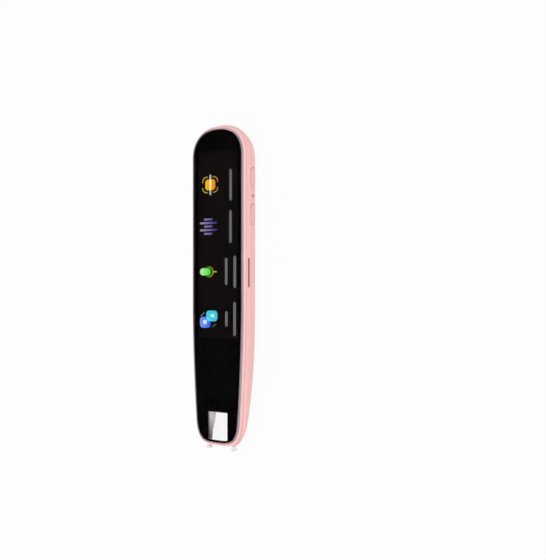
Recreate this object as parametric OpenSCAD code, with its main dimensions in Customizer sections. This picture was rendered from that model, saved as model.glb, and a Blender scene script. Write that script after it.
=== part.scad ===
// Scanning translator pen: a slim lofted casing with a full-length cover glass,
// a see-through scan notch at its tip and a spring-loaded tip trigger.
// +X is the key side, +Y the top end, +Z the glass. The pen lies on its speaker pad at z = 0.

/* [Casing] */
// Length of the casing, without the trigger's feet
casing_length = 146; // [144:0.5:152]
// Width at the widest line
casing_width = 31; // [30.5:0.1:32.5]
// Depth from the glass's face to the back
casing_depth = 13.6; // [13.5:0.05:14.2]
// Wall of both casing shells
wall = 1.5; // [1.3:0.1:1.6]
// How much narrower each side is at the tip
tip_narrowing = 3.1; // [2.5:0.1:3.3]
// Length over which the sides draw in towards the tip
taper_length = 65; // [55:1:75]
// Length of the rounded end at the top
top_end = 15; // [14:0.5:16]
// Length of the rounded end at the tip
tip_end = 15; // [14:0.5:16]
// How far the back rises towards the tip
tip_rise = 7.2; // [6.5:0.1:7.3]
// Length over which the back rises towards the tip
tip_rise_length = 45; // [42:1:48]
// How far the back rises towards the top end
top_rise = 3; // [2.5:0.1:3.4]
// Length over which the back rises towards the top end
top_rise_length = 21; // [18:1:23]
// Width of the round between each side and the back
back_corner = 6.4; // [6:0.1:6.6]
// Height of that round, from the back's edge up to the widest line
corner_height = 7.85; // [7.5:0.05:8.2]
// How far the middle of the back stands out
back_crown = 0.35; // [0.2:0.05:0.5]
// How far the sides come in from the widest line up to the seam
side_tuck = 0.8; // [0.7:0.05:0.9]

/* [Front] */
// Distance from the widest line in to the rim's inner edge
rim_width = 1.7; // [1.6:0.05:1.8]
// Height from the seam up to the cover's face
rim_drop = 2.3; // [2.25:0.05:2.4]
// How far the rim's inner edge lies below the cover's face
rim_below_glass = 1.5; // [1.4:0.05:1.55]
// Depth of the cover's side
glass_thickness = 1.6; // [1.55:0.05:1.65]
// Thickness of the cover's face
glass_face = 0.55; // [0.5:0.05:0.6]
// Wall of the cover's side
glass_wall = 0.45; // [0.4:0.05:0.5]
// Radius of the cover's upper edge
glass_edge = 0.3; // [0.2:0.05:0.4]
// Width of the ledge that carries the cover
ledge_width = 1.25; // [1.15:0.05:1.3]
// Thickness of that ledge
ledge_thickness = 0.7; // [0.6:0.05:0.8]
// Depth of the skirt that enters the rear shell
skirt_depth = 0.8; // [0.7:0.05:0.85]
// Thickness of that skirt
skirt_thickness = 0.5; // [0.4:0.02:0.54]

/* [Display] */
// Distance from the casing's tip to the display
display_from_tip = 48.8; // [48:0.1:54]
// Thickness of the display module
display_thickness = 1.4; // [1.2:0.05:1.45]
// Distance from the casing's top end to the display
display_from_top = 11.6; // [11.4:0.1:13]
// Dark border of the print round the lit area
display_border = 0.7; // [0.4:0.1:1.2]
// How far the black bezel stands out below the cover's side
print_thickness = 0.1; // [0.08:0.01:0.12]

/* [Scan tip] */
// Width of the notch in the rear shell
notch_width = 15; // [14.6:0.1:15.4]
// Length of the notch from the casing's tip
notch_length = 18; // [17.5:0.1:18.5]
// Radius in the notch's upper corners
notch_corner = 1.5; // [1:0.1:2]
// Wall between the notch and the inside
bulkhead = 1.4; // [1.2:0.05:1.5]
// Wall between the notch and each leg's hollow
leg_wall = 1.2; // [1:0.05:1.4]
// Width of the clear window in the bezel
window_width = 11.3; // [10.5:0.1:11.4]
// Length of the clear window
window_length = 12.9; // [12:0.1:13.2]
// Black border between the window and the glass's lower end
window_border = 1.2; // [1.15:0.05:1.4]
// Width of the light aperture in the bulkhead
aperture_width = 9; // [8.4:0.1:9.6]
// Height of the light aperture
aperture_height = 3; // [2.8:0.1:3.1]
// Thickness of the pane in the aperture
pane_thickness = 1; // [0.8:0.05:1.2]

/* [Tip trigger] */
// How far the feet stand out of the tip
foot_proud = 1.2; // [1.1:0.05:1.4]
// Travel of the trigger
trigger_travel = 0.8; // [0.5:0.05:0.85]
// Width of each arm
arm_width = 1.8; // [1.6:0.05:1.85]
// Depth of each arm
arm_depth = 2.8; // [2.6:0.05:2.9]
// Width of each arm where it meets its foot
arm_tip_width = 1; // [0.9:0.05:1.2]
// Width of each foot
foot_width = 2.4; // [2.3:0.05:2.6]
// Depth of each foot
foot_depth = 1.9; // [1.8:0.05:2.2]
// Thickness of the cross bar behind the bulkhead
cross_bar = 1.8; // [1.6:0.05:1.9]
// Outer diameter of each return spring
spring_diameter = 2.2; // [2:0.05:2.3]
// Length of each return spring at rest
spring_length = 2.2; // [2.1:0.05:2.6]
// Wire of each return spring
spring_wire = 0.25; // [0.2:0.01:0.28]
// Turns of each return spring
spring_turns = 4; // [3:0.5:4.5]

/* [Keys] */
// Distance from the top end to the power button's middle
power_from_top = 24.5; // [23.5:0.1:25]
// Length of the power button
power_length = 8; // [7.6:0.1:8.4]
// Distance from the top end to the mode button's middle
mode_from_top = 41.1; // [40.5:0.1:42]
// Length of the mode button
mode_length = 8.9; // [8.5:0.1:9.2]
// Width of both buttons
key_width = 3; // [2.8:0.05:3.1]
// How far both buttons' faces lie inside the widest line
key_inside = 0.08; // [0.05:0.01:0.12]
// Distance from the seam down to the buttons' middle
key_drop = 4.4; // [4.3:0.05:4.5]
// Travel of both buttons
key_travel = 0.35; // [0.2:0.05:0.35]
// Thickness of the flange that keeps each button in
key_flange = 0.6; // [0.5:0.05:0.65]
// How far that flange reaches past the opening
key_flange_lap = 0.7; // [0.6:0.05:0.8]
// Distance from the top end to the microphone's hole
mic_from_top = 32.9; // [32.7:0.1:33.1]
// Diameter of the microphone's hole
mic_hole = 1.5; // [1.3:0.1:1.5]

/* [Ports] */
// Distance from the top end to the card slot's middle
slot_from_top = 67.1; // [66:0.1:68]
// Length of the card slot
slot_length = 13.1; // [12.6:0.1:13.4]
// Width of the card slot
slot_width = 1.2; // [1.1:0.05:1.3]
// Distance from the seam down to the slot's middle
slot_drop = 1.55; // [1.5:0.05:1.6]

/* [Speaker] */
// How far the speaker pad stands out of the back
pad_proud = 0.8; // [0.7:0.05:0.9]
// Width of the speaker pad
pad_width = 16.8; // [16.2:0.1:17.2]
// Length of the speaker pad
pad_length = 32.9; // [32:0.1:33.5]
// Distance from the top end to the pad's middle
pad_from_top = 27.6; // [27:0.1:28.5]
// Thickness of the pad's cover plate
cover_thickness = 1; // [0.9:0.05:1.05]
// Distance from the top end to the grille's middle
grille_from_top = 21; // [20.8:0.1:21.4]
// Length of each grille slot
grille_slot = 6.6; // [6:0.1:6.7]
// Width of each grille slot
grille_slot_width = 1; // [0.8:0.05:1.1]
// Distance between neighbouring grille slots
grille_pitch = 2.1; // [2:0.05:2.2]
// Diameter of the speaker driver
speaker_diameter = 15; // [14.4:0.1:15.2]
// Thickness of the speaker driver
speaker_thickness = 3.2; // [3:0.1:3.4]

/* [Inside] */
// Thickness of the display bracket
bracket_thickness = 0.6; // [0.5:0.05:0.65]
// Room for parts between the bracket and the main board
part_room = 0.7; // [0.65:0.05:0.75]
// Thickness of the circuit boards
board_thickness = 0.8; // [0.7:0.05:0.85]
// Distance from the shell's side to the battery
battery_side_gap = 4.5; // [4.4:0.1:5]
// Distance from the casing's tip to the battery
battery_from_tip = 37; // [36.5:0.5:41]
// Thickness of the battery
battery_thickness = 5; // [4.6:0.1:5.2]
// Thickness of the tape under the battery
tape_thickness = 0.4; // [0.3:0.05:0.45]
// Distance from the top end to the battery
battery_from_top = 57; // [56.5:0.5:57.5]
// Thickness of the ribs that hold the battery
rib = 0.8; // [0.7:0.05:1]
// Diameter of the screws' shanks
screw_diameter = 1.4; // [1.3:0.05:1.45]
// Diameter of the screws' heads
screw_head = 2.6; // [2.4:0.1:2.8]
// Width of the camera's housing
camera_width = 8; // [7.6:0.1:8.4]
// Height of the camera's housing
camera_height = 4.2; // [4:0.05:4.25]
// Length of the camera's housing
camera_length = 4.6; // [4.2:0.1:5]
// Diameter of the camera's lens barrel
barrel_diameter = 3.4; // [3:0.05:3.6]

/* [Fits] */
// Gap round a moving part
slide_gap = 0.1; // [0.08:0.01:0.12]
// Gap round a part that is dropped in
fit_gap = 0.1; // [0.08:0.01:0.12]
// Gap between layers that are stacked
layer_gap = 0.05; // [0.03:0.01:0.06]

/* [Hidden] */
$fn = 48;

pink = "#f2b3ae";
pale_pink = "#f7cdc9";
steel = "#c4c6c8";
board_green = "#1f5a3c";
black = "#0b0a0c";

// Ends of the casing along Y: the whole pen, feet included, is centred on y = 0
top_y = (casing_length + foot_proud) / 2;
tip_y = top_y - casing_length;

// Heights of the casing
back_z = pad_proud;
glass_z = back_z + casing_depth;
seam_z = glass_z - rim_drop;
floor_z = back_z + wall;

// Heights of the stack under the glass
glass_under = glass_z - glass_thickness;
print_under = glass_under - print_thickness;
display_top = print_under - layer_gap;
display_under = display_top - display_thickness;
bracket_top = display_under - layer_gap;
bracket_under = bracket_top - bracket_thickness;
board_top = bracket_under - part_room;
board_under = board_top - board_thickness;

// Shape of the casing's outline
top_squareness = 2.3;
tip_squareness = 3.6;
taper_power = 1.76;
tip_rise_power = 2.16;
top_rise_power = 2.2;
end_inset_ratio = 1.17;
end_steps = 12;
side_steps = 16;
corner_steps = 5;
row_steps = 6;

// Half the width at the widest line, with the ends not yet rounded
function side_half(y) = casing_width / 2
    - tip_narrowing * pow(max(0, (tip_y + taper_length - y) / taper_length), taper_power);

// How far the back lies above its middle, at a distance x from it
function crown_at(x) = back_crown * pow(x / (casing_width / 2 - back_corner), 2);

// Height of the middle of the back
function back_at(y) = back_z
    + tip_rise * pow(max(0, (tip_y + tip_rise_length - y) / tip_rise_length), tip_rise_power)
    + top_rise * pow(max(0, (y - top_y + top_rise_length) / top_rise_length), top_rise_power);

// Stations along one side, from the tip to the top: [end, place], where end is -1, 0 or 1
stations = concat(
    [for (i = [0 : end_steps - 1]) [-1, 90 - 90 * i / end_steps]],
    [for (i = [0 : side_steps]) [0, i / side_steps]],
    [for (i = [1 : end_steps]) [1, 90 * i / end_steps]]);
last = len(stations) - 1;
ring_size = 2 * last;

// The outline's point at a station, moved in by an inset: the ends are superellipses
function outline_point(s, inset) =
    let (tip_cap = tip_y + tip_end, top_cap = top_y - top_end)
    s[0] == 0 ? let (y = tip_cap + s[1] * (top_cap - tip_cap)) [side_half(y) - inset, y]
    : let (n = s[0] < 0 ? tip_squareness : top_squareness,
           reach = (s[0] < 0 ? tip_end : top_end) - end_inset_ratio * inset,
           y = (s[0] < 0 ? tip_cap : top_cap) + s[0] * reach * pow(sin(s[1]), 2 / n))
      [(side_half(y) - inset) * pow(cos(s[1]), 2 / n), y];

// The whole outline, up the right side and down the left
function outline(inset) =
    let (side = [for (s = stations) outline_point(s, inset)])
    concat(side, [for (k = [last - 1 : -1 : 1]) [-side[k][0], side[k][1]]]);

// Half the outline's width at y, for placing parts against the wall
function half_at(y, inset) =
    let (side = [for (s = stations) outline_point(s, inset)],
         k = max([for (i = [0 : last - 1]) side[i][1] <= y ? i : 0]),
         t = (y - side[k][1]) / (side[k + 1][1] - side[k][1]))
    side[k][0] + t * (side[k + 1][0] - side[k][0]);

// Faces that join ring a to ring b, where each ring starts at the given point number
function band(a, b) = [for (i = [0 : ring_size - 1], half = [0, 1])
    let (j = (i + 1) % ring_size)
    half == 0 ? [a + i, b + i, b + j] : [a + i, b + j, a + j]];

// The casing as one solid, moved in by an offset: from a flat top down to the crowned back
module casing_solid(offset, top) {
    corner = back_corner - offset;
    function edge_at(y) = back_at(y) + offset + back_crown;
    // Height that the corner's round takes at y, less where the tip is thin
    function corner_rise(y) = min(corner_height - offset, 0.75 * (seam_z - edge_at(y)));
    function widest_at(y) = edge_at(y) + corner_rise(y);
    walls = [
        if (top > seam_z) [for (p = outline(offset + side_tuck)) [p[0], p[1], top]],
        [for (p = outline(offset + side_tuck)) [p[0], p[1], seam_z]],
        [for (p = outline(offset + side_tuck / 4))
            [p[0], p[1], (seam_z + widest_at(p[1])) / 2]],
        for (a = [0 : 90 / corner_steps : 90])
            [for (p = outline(offset + corner * (1 - cos(a))))
                [p[0], p[1], edge_at(p[1]) + corner_rise(p[1]) * (1 - sin(a))]]];
    edge = walls[len(walls) - 1];
    rows = [for (k = [1 : last - 1], m = [1 : row_steps - 1])
        let (t = 1 - 2 * m / row_steps)
        [edge[k][0] * t, edge[k][1], back_at(edge[k][1]) + offset + back_crown * t * t]];
    base = (len(walls) - 1) * ring_size;
    inner = len(walls) * ring_size;
    // Point m of row k: both ends of a row are points of the last ring
    function row_point(k, m) = k == 0 ? base : k == last ? base + last
        : m == 0 ? base + k
        : m == row_steps ? base + ring_size - k
        : inner + (k - 1) * (row_steps - 1) + m - 1;
    faces = concat(
        [[for (i = [0 : ring_size - 1]) i]],
        [for (r = [0 : len(walls) - 2]) each band(r * ring_size, (r + 1) * ring_size)],
        [for (k = [0 : last - 1], m = [0 : row_steps - 1], half = [0, 1])
            if (!(k == 0 && half == 1) && !(k == last - 1 && half == 0))
                half == 0 ? [row_point(k, m), row_point(k + 1, m + 1), row_point(k + 1, m)]
                : [row_point(k, m), row_point(k, m + 1), row_point(k + 1, m + 1)]]);
    polyhedron(points = concat([for (w = walls) each w], rows),
        faces = [for (f = faces) [for (i = [len(f) - 1 : -1 : 0]) f[i]]]);
}

// A plate between two heights that follows the casing's plan, moved in, from y_low to y_high
module plan_plate(inset, y_low, y_high, z_low, z_high) {
    translate([0, 0, z_low]) linear_extrude(z_high - z_low) intersection() {
        polygon(outline(inset));
        translate([-casing_width, y_low]) square([2 * casing_width, y_high - y_low]);
    }
}

// A box from its middle in X, its low end in Y and its two heights
module block(width, y_low, y_high, z_low, z_high) {
    translate([-width / 2, y_low, z_low]) cube([width, y_high - y_low, z_high - z_low]);
}

// A rectangle with round corners, centred on the origin
module round_rectangle(width, length, radius) {
    square([width - 2 * radius, length], center = true);
    square([width, length - 2 * radius], center = true);
    for (x = [-1, 1], y = [-1, 1])
        translate([x * (width / 2 - radius), y * (length / 2 - radius)]) circle(radius);
}

// A stadium prism whose straight sides run along Y and whose width may change as it rises
module stadium(length, width_low, width_high, height) {
    straight = length - width_low;
    for (s = [-1, 1])
        translate([0, s * straight / 2, 0]) cylinder(d1 = width_low, d2 = width_high, h = height);
    translate([0, straight / 2, 0]) rotate([90, 0, 0]) linear_extrude(straight)
        polygon([[-width_low / 2, 0], [width_low / 2, 0], [width_high / 2, height],
            [-width_high / 2, height]]);
}

// Turns a prism that rises along Z so that it points out of the +X side
module out_of_side() {
    rotate([0, 90, 0]) children();
}

// One edge of a ribbon cable of thickness t along a path of [y, z] points
function ribbon_edge(path, t) = [for (i = [0 : len(path) - 1])
    let (d = path[min(i + 1, len(path) - 1)] - path[max(i - 1, 0)])
    path[i] + [-d[1], d[0]] / norm(d) * t / 2];

// A ribbon cable or flat lead that bends in an S from one [y, z] point to another
module ribbon(from, to, width, t) {
    path = [for (u = [0 : 1 / 12 : 1.001])
        [from[0] + (to[0] - from[0]) * u, from[1] + (to[1] - from[1]) * u * u * (3 - 2 * u)]];
    low = ribbon_edge(path, -t);
    translate([-width / 2, 0, 0]) rotate([90, 0, 90]) linear_extrude(width)
        polygon(concat(ribbon_edge(path, t), [for (i = [len(low) - 1 : -1 : 0]) low[i]]));
}

// ---- Places that several parts share ----

notch_y = tip_y + notch_length;
bulkhead_y = notch_y + bulkhead;
parting_gap = 0.08;
skirt_low = seam_z - skirt_depth;
skirt_inset = wall + side_tuck + fit_gap;
ledge_top = print_under - layer_gap;
glass_inset = rim_width + fit_gap;
tray_inset = glass_inset + glass_wall;
tray_z = glass_z - glass_face;
inner_inset = wall + 0.28;

// Display
display_low = tip_y + display_from_tip;
display_high = top_y - display_from_top;
display_length = display_high - display_low;
display_side_gap = 0.15;
display_half = side_half(display_low) - rim_width - ledge_width - display_side_gap;

// Trigger: its arms slide beside the notch's walls and its cross bar stops at the bulkhead
arm_top = skirt_low - 2 * slide_gap;
arm_low = arm_top - arm_depth;
arm_x = notch_width / 2 - slide_gap - arm_width / 2;
foot_top = tip_y - 1.5 * slide_gap;
cross_front = bulkhead_y + slide_gap;
cross_back = cross_front + cross_bar;
cross_height = 1.9;
spring_x = arm_x - 0.1;
spring_z = arm_top - cross_height / 2;
holder_front = cross_back + spring_length;
holder_thickness = 1.2;
holder_back = holder_front + holder_thickness;
spring_pin = spring_diameter - 2 * spring_wire - 0.5;
plunger_diameter = 1.2;
plunger_z = board_top + 0.7;

// Optics, on one axis between the pane and the camera
aperture_top = arm_low - slide_gap - 0.15;
view_z = aperture_top - aperture_height / 2;
camera_front = holder_back + layer_gap;
camera_back = camera_front + camera_length;
light_back = holder_front - layer_gap;
light_front = light_back - board_thickness;
light_height = 4.2;
light_width = 2 * (arm_x + arm_width / 2);

// Posts that carry the board, as [x, y]: the screws go into those at both ends
post_diameter = 3.6;
post_inset = 3.6;
function pair_of_posts(y) = [for (x = [-1, 1]) [x * (half_at(y, inner_inset) - post_inset), y]];
posts = concat(pair_of_posts(tip_y + 32.5), pair_of_posts(top_y - 9));
middle_posts = pair_of_posts(top_y - battery_from_top + 3);
screw_head_height = 0.6;
screw_length = 5.4;

// Main board
board_inset = inner_inset + 2;
board_low = holder_back + layer_gap;
board_high = top_y - 7.6;

// Battery
battery_high = top_y - battery_from_top;
battery_low = tip_y + battery_from_tip;
inner_wall_x = casing_width / 2 - inner_inset;
battery_width = 2 * (inner_wall_x - battery_side_gap);
tape_width = 10;
tape_low = floor_z + crown_at(tape_width / 2) + layer_gap;
battery_under = tape_low + tape_thickness;
battery_top = battery_under + battery_thickness;
rib_top = battery_under + 2.2;
rib_length = 6;

// Keys, from their faces inwards
key_z = seam_z - key_drop;
power_y = top_y - power_from_top;
mode_y = top_y - mode_from_top;
mic_y = top_y - mic_from_top;
key_face_x = casing_width / 2 - key_inside;
flange_x = inner_wall_x - slide_gap;
flange_inner_x = flange_x - key_flange;
switch_x = flange_inner_x - key_travel - slide_gap;
switch_thickness = 1.2;
switch_pocket = 1;
key_board_x = switch_x - switch_thickness;
boot_diameter = 3;

// Ports
usb_width = 8.94;
usb_height = 3.2;
usb_length = 7.3;
usb_wall = 0.3;
usb_recess = 1.6;
usb_z = board_under - usb_height / 2;
usb_mouth = top_y - usb_recess;
slot_y = top_y - slot_from_top;
slot_z = seam_z - slot_drop;
socket_top = bracket_top - layer_gap;
socket_length = 13.8;
socket_depth = 13;
socket_x = inner_wall_x - 0.25;

// Speaker, and the ring of the shell that meets its cover
halo_land = 0.4;
halo_z = 0.15;
pad_y = top_y - pad_from_top;
grille_y = top_y - grille_from_top;
speaker_hole = speaker_diameter - 1.4;
grille_hub = 1.1;
grille_lead = 0.55;

// ---- Casing ----

// The notch's plan, grown to the sides and to its upper end
module notch_prism(side, end) {
    width = notch_width + 2 * side;
    high = notch_y + end;
    translate([0, 0, -1]) linear_extrude(seam_z + 3) {
        translate([-width / 2, tip_y - 5]) square([width, high - notch_corner - tip_y + 5]);
        translate([-width / 2 + notch_corner, tip_y - 5])
            square([width - 2 * notch_corner, high - tip_y + 5]);
        for (x = [-1, 1]) translate([x * (width / 2 - notch_corner), high - notch_corner])
            circle(notch_corner);
    }
}

// Ribs that hold the battery: three on each side and a stop at each end
module battery_ribs() {
    side = battery_width / 2 + fit_gap + rib / 2;
    pitch = (battery_high - battery_low) / 3;
    for (x = [-1, 1], n = [0 : 2]) translate([x * side, battery_low + (n + 0.5) * pitch, 0])
        block(rib, -rib_length / 2, rib_length / 2, 0, rib_top);
    for (y = [battery_low - fit_gap - rib, battery_high + fit_gap])
        block(1.5 * rib_length, y, y + rib, 0, rib_top);
}

// The space inside the rear shell, round its bulkhead, leg walls, posts and ribs
module shell_cavity() {
    difference() {
        casing_solid(wall, seam_z + 1);
        battery_ribs();
        notch_prism(leg_wall, bulkhead);
        for (p = concat(posts, middle_posts))
            translate([p[0], p[1], 0]) cylinder(d = post_diameter, h = board_under);
    }
}

// The raised ring that meets the speaker pad: half of its section, swept round the pad
module pad_halo() {
    inner = pad_width / 2 + halo_land;
    high = back_z + 1.7;
    section = [[0, high], [inner + 3.3, high], [inner + 0.6, halo_z + 0.55], [inner, halo_z],
        [0, halo_z]];
    straight = pad_length - pad_width;
    translate([0, pad_y, 0]) {
        for (s = [-1, 1]) translate([0, s * straight / 2, 0])
            rotate_extrude(angle = 360) polygon(section);
        translate([0, straight / 2, 0]) rotate([90, 0, 0]) linear_extrude(straight)
            for (m = [0, 1]) mirror([m, 0]) polygon(section);
    }
}

// A stadium opening in the +X wall
module side_opening(y, z, length, width) {
    translate([inner_wall_x - 1, y, z]) out_of_side()
        stadium(length, width, width, casing_width / 2 - inner_wall_x + 3);
}

// A flat seat in the inner face of the +X wall for a key's flange
module key_seat(y, length) {
    grow = 2 * key_flange_lap + 2 * slide_gap;
    translate([inner_wall_x - 3, y, key_z]) out_of_side()
        stadium(length + grow, key_width + grow, key_width + grow, 3);
}

module rear_shell() {
    color(pink) difference() {
        union() {
            casing_solid(0, seam_z);
            pad_halo();
        }
        shell_cavity();
        notch_prism(0, 0);
        // Guides for the trigger's arms, and the light aperture
        for (x = [-1, 1]) translate([x * arm_x, 0, 0])
            block(arm_width + 2 * slide_gap, notch_y - 1, bulkhead_y + 1,
                arm_low - slide_gap, arm_top + slide_gap);
        translate([0, bulkhead_y + 1, view_z]) rotate([90, 0, 0]) linear_extrude(bulkhead + 2)
            round_rectangle(aperture_width, aperture_height, 0.8);
        // Keys, microphone and card slot
        side_opening(power_y, key_z, power_length + 2 * slide_gap, key_width + 2 * slide_gap);
        side_opening(mode_y, key_z, mode_length + 2 * slide_gap, key_width + 2 * slide_gap);
        key_seat(power_y, power_length);
        key_seat(mode_y, mode_length);
        side_opening(slot_y, slot_z, slot_length, slot_width);
        translate([inner_wall_x - 1, mic_y, key_z]) out_of_side() cylinder(d = mic_hole, h = 5);
        translate([inner_wall_x - 3, mic_y, key_z]) out_of_side()
            cylinder(d = boot_diameter + 2 * slide_gap, h = 3);
        // Charging socket
        translate([0, usb_mouth - 3, usb_z]) rotate([0, 90, 90])
            stadium(usb_width + 2 * fit_gap, usb_height + 2 * fit_gap, usb_height + 2 * fit_gap, 9);
        // Seats of the speaker and of its cover, and the hole behind the grille
        translate([0, grille_y, floor_z]) cylinder(d = speaker_diameter + 2 * fit_gap, h = 4);
        translate([0, pad_y, -1])
            stadium(pad_length + 2 * fit_gap, pad_width + 2 * fit_gap, pad_width + 2 * fit_gap,
                1 + cover_thickness + layer_gap);
        translate([0, grille_y, 0]) cylinder(d = speaker_hole, h = floor_z + 1);
        // Pilot holes of the posts
        for (p = posts) translate([p[0], p[1], board_under - screw_length])
            cylinder(d = screw_diameter + 2 * layer_gap, h = screw_length + 1);
    }
}

// The rim's section as [inset, height] points, swept round the casing's outline
function rim_section() =
    let (land = seam_z + 0.35, top = glass_z - rim_below_glass)
    concat(
        [[side_tuck, seam_z + parting_gap]],
        [for (a = [0 : 18 : 90])
            [side_tuck + (rim_width - side_tuck) * (1 - cos(a)), land + (top - land) * sin(a)]],
        [[rim_width, ledge_top],
         [rim_width + ledge_width, ledge_top],
         [rim_width + ledge_width, ledge_top - ledge_thickness],
         [skirt_inset + skirt_thickness, ledge_top - ledge_thickness],
         [skirt_inset + skirt_thickness, skirt_low],
         [skirt_inset, skirt_low],
         [skirt_inset, seam_z + parting_gap]]);

module front_frame() {
    section = rim_section();
    n = len(section);
    color(pale_pink) difference() {
        polyhedron(
            points = [for (s = section, p = outline(s[0])) [p[0], p[1], s[1]]],
            faces = [for (r = [0 : n - 1]) each band(r * ring_size, ((r + 1) % n) * ring_size)]);
        // The skirt stops where the legs beside the notch begin
        block(casing_width + 2, tip_y - 1, notch_y, skirt_low - 1, seam_z + parting_gap);
        // Room for the card in its slot
        translate([casing_width / 2 - skirt_inset - skirt_thickness - 0.3, slot_y, slot_z])
            out_of_side() stadium(slot_length + 1, slot_width + 0.6, slot_width + 0.6,
                skirt_thickness + 1);
    }
}

// The cover: a clear cap whose side shows above the rim, hollow behind its face for the bezel
module cover_glass() {
    rings = concat([[0, glass_under]],
        [for (a = [0 : 30 : 90])
            [0.1 + glass_edge * (1 - cos(a)), glass_z - glass_edge * (1 - sin(a))]]);
    n = len(rings);
    color([0.75, 0.8, 0.85, 0.35]) difference() {
        polyhedron(
            points = [for (r = rings, p = outline(glass_inset + r[0])) [p[0], p[1], r[1]]],
            faces = concat(
                [[for (i = [0 : ring_size - 1]) i]],
                [for (r = [0 : n - 2]) each band(r * ring_size, (r + 1) * ring_size)],
                [[for (i = [ring_size - 1 : -1 : 0]) (n - 1) * ring_size + i]]));
        translate([0, 0, glass_under - 1]) linear_extrude(tray_z - glass_under + 1)
            polygon(outline(tray_inset));
    }
}

// The black bezel behind the cover, open over the lit area and over the scan notch
module black_print() {
    window_low = tip_y + rim_width * end_inset_ratio;
    color(black) translate([0, 0, print_under])
        linear_extrude(tray_z - layer_gap - print_under) difference() {
            polygon(outline(tray_inset + fit_gap));
            translate([0, (display_low + display_high) / 2])
                round_rectangle(2 * (display_half - display_border),
                    display_length - 2 * display_border, 2);
            intersection() {
                polygon(outline(glass_inset + window_border));
                translate([-window_width / 2, window_low])
                    square([window_width, window_border * end_inset_ratio + window_length]);
            }
        }
}

// ---- Under the glass ----

module display_panel() {
    color("#15151c") translate([0, (display_low + display_high) / 2, display_under])
        linear_extrude(display_thickness) round_rectangle(2 * display_half, display_length, 2.5);
}

module display_bracket() {
    low = tip_y + 29.5;
    high = top_y - 6.4;
    color(steel) difference() {
        union() {
            plan_plate(inner_inset + 0.6, low, high, bracket_under, bracket_top);
            for (p = posts) translate([p[0], p[1], board_top + layer_gap])
                cylinder(d = post_diameter, h = bracket_top - board_top - layer_gap);
        }
        for (p = posts) translate([p[0], p[1], 0])
            cylinder(d = screw_diameter + 0.3, h = glass_z);
        // Window for the display's cable, and room for the card socket
        block(12, display_low - 7.2, display_low - 0.4, 0, glass_z);
        translate([socket_x + 0.3 - 20, slot_y - socket_length / 2 - 0.3, 0])
            translate([20 - socket_depth - 0.6, 0, 0])
            cube([socket_depth + 3, socket_length + 0.6, glass_z]);
        // Cut-outs that lighten the plate
        for (y = [0 : 2]) translate([0, display_high - 14 - 17 * y, 0])
            linear_extrude(glass_z) round_rectangle(14, 12, 2);
    }
}

module display_flex() {
    color("#b8862b") ribbon([display_low - layer_gap, display_under + 0.4],
        [display_low - 5, board_top + 0.45], 10, 0.15);
}

// ---- Boards ----

module main_board() {
    color(board_green) difference() {
        plan_plate(board_inset, board_low, board_high, board_under, board_top);
        for (p = posts) translate([p[0], p[1], 0])
            cylinder(d = screw_diameter + 0.3, h = glass_z);
    }
}

// [x, y, width, length, height] of each chip: a minus height hangs under the board
chips = [[0, battery_high - 24, 9, 9, -0.7], [-1, battery_high - 36, 8, 6, -0.7],
    [5.5, battery_high - 12, 4, 4, -0.6], [-5.5, battery_high - 11, 5, 4, -0.6],
    [-6, slot_y - 2, 6, 8, 0.5], [-5, slot_y - 14, 5, 5, 0.5], [4, slot_y - 15, 4, 6, 0.5],
    [0, grille_y - 6, 6, 6, -0.7]];

module board_chips() {
    color("#202226") for (c = chips)
        translate([c[0] - c[2] / 2, c[1] - c[3] / 2, c[4] > 0 ? board_top : board_under + c[4]])
            cube([c[2], c[3], abs(c[4])]);
}

module board_connectors() {
    color("#e6dfcf") {
        block(11, display_low - 7, display_low - 4.6, board_top, board_top + 0.36);
        block(6.4, camera_back + 3, camera_back + 5.4, board_under - 0.9, board_under);
        block(5, battery_high + 1.6, battery_high + 4, board_under - 1.1, board_under);
    }
}

module shield_can() {
    width = 18;
    length = 20;
    height = 2.4;
    sheet = 0.2;
    pitch = 4;
    high = grille_y - speaker_diameter / 2 - 3;
    low = high - length;
    color(steel) difference() {
        block(width, low, high, board_under - height, board_under);
        block(width - 2 * sheet, low + sheet, high - sheet, board_under - height + sheet,
            board_under + 1);
        for (x = [-1 : 1], y = [-1.5 : 1.5]) translate([x * pitch, (low + high) / 2 + y * pitch, 0])
            cylinder(d = 1, h = board_under);
    }
}

module case_screws() {
    color(steel) for (p = posts) translate([p[0], p[1], bracket_top]) difference() {
        union() {
            cylinder(d = screw_head, h = screw_head_height);
            translate([0, 0, board_under - screw_length + 0.3 - bracket_top])
                cylinder(d = screw_diameter, h = bracket_top - board_under + screw_length - 0.3);
        }
        for (a = [0, 90]) rotate([0, 0, a])
            translate([-0.75, -0.15, screw_head_height - 0.3]) cube([1.5, 0.3, 1]);
    }
}

// ---- Battery ----

module battery() {
    color("#9aa0a6") {
        translate([0, battery_high, (battery_under + battery_top) / 2]) rotate([90, 0, 0])
            linear_extrude(battery_high - battery_low) round_rectangle(battery_width, battery_thickness, 1.6);
    }
}

module battery_tape() {
    color("#e8e8e4") block(tape_width, battery_low + 7, battery_high - 4, tape_low, battery_under);
}

module battery_leads() {
    color(steel) for (x = [-1, 1]) translate([x * 1.4, 0, 0])
        ribbon([battery_high + layer_gap, battery_top - 1.2],
            [battery_high + 1.6 - layer_gap, board_under - 0.5], 1, 0.15);
}

// ---- Speaker ----

// Three groups of three slots, each filling a rhombus: together they make a hexagon
module grille_slots(height) {
    step = grille_pitch / sin(60);
    for (turn = [0, 120, 240], n = [0 : 2]) rotate([0, 0, turn])
        translate([(grille_slot + grille_hub - (n + grille_lead) * step) / 2,
            -(n + grille_lead) * grille_pitch, 0])
        rotate([0, 0, 90]) stadium(grille_slot, grille_slot_width, grille_slot_width, height);
}

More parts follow.
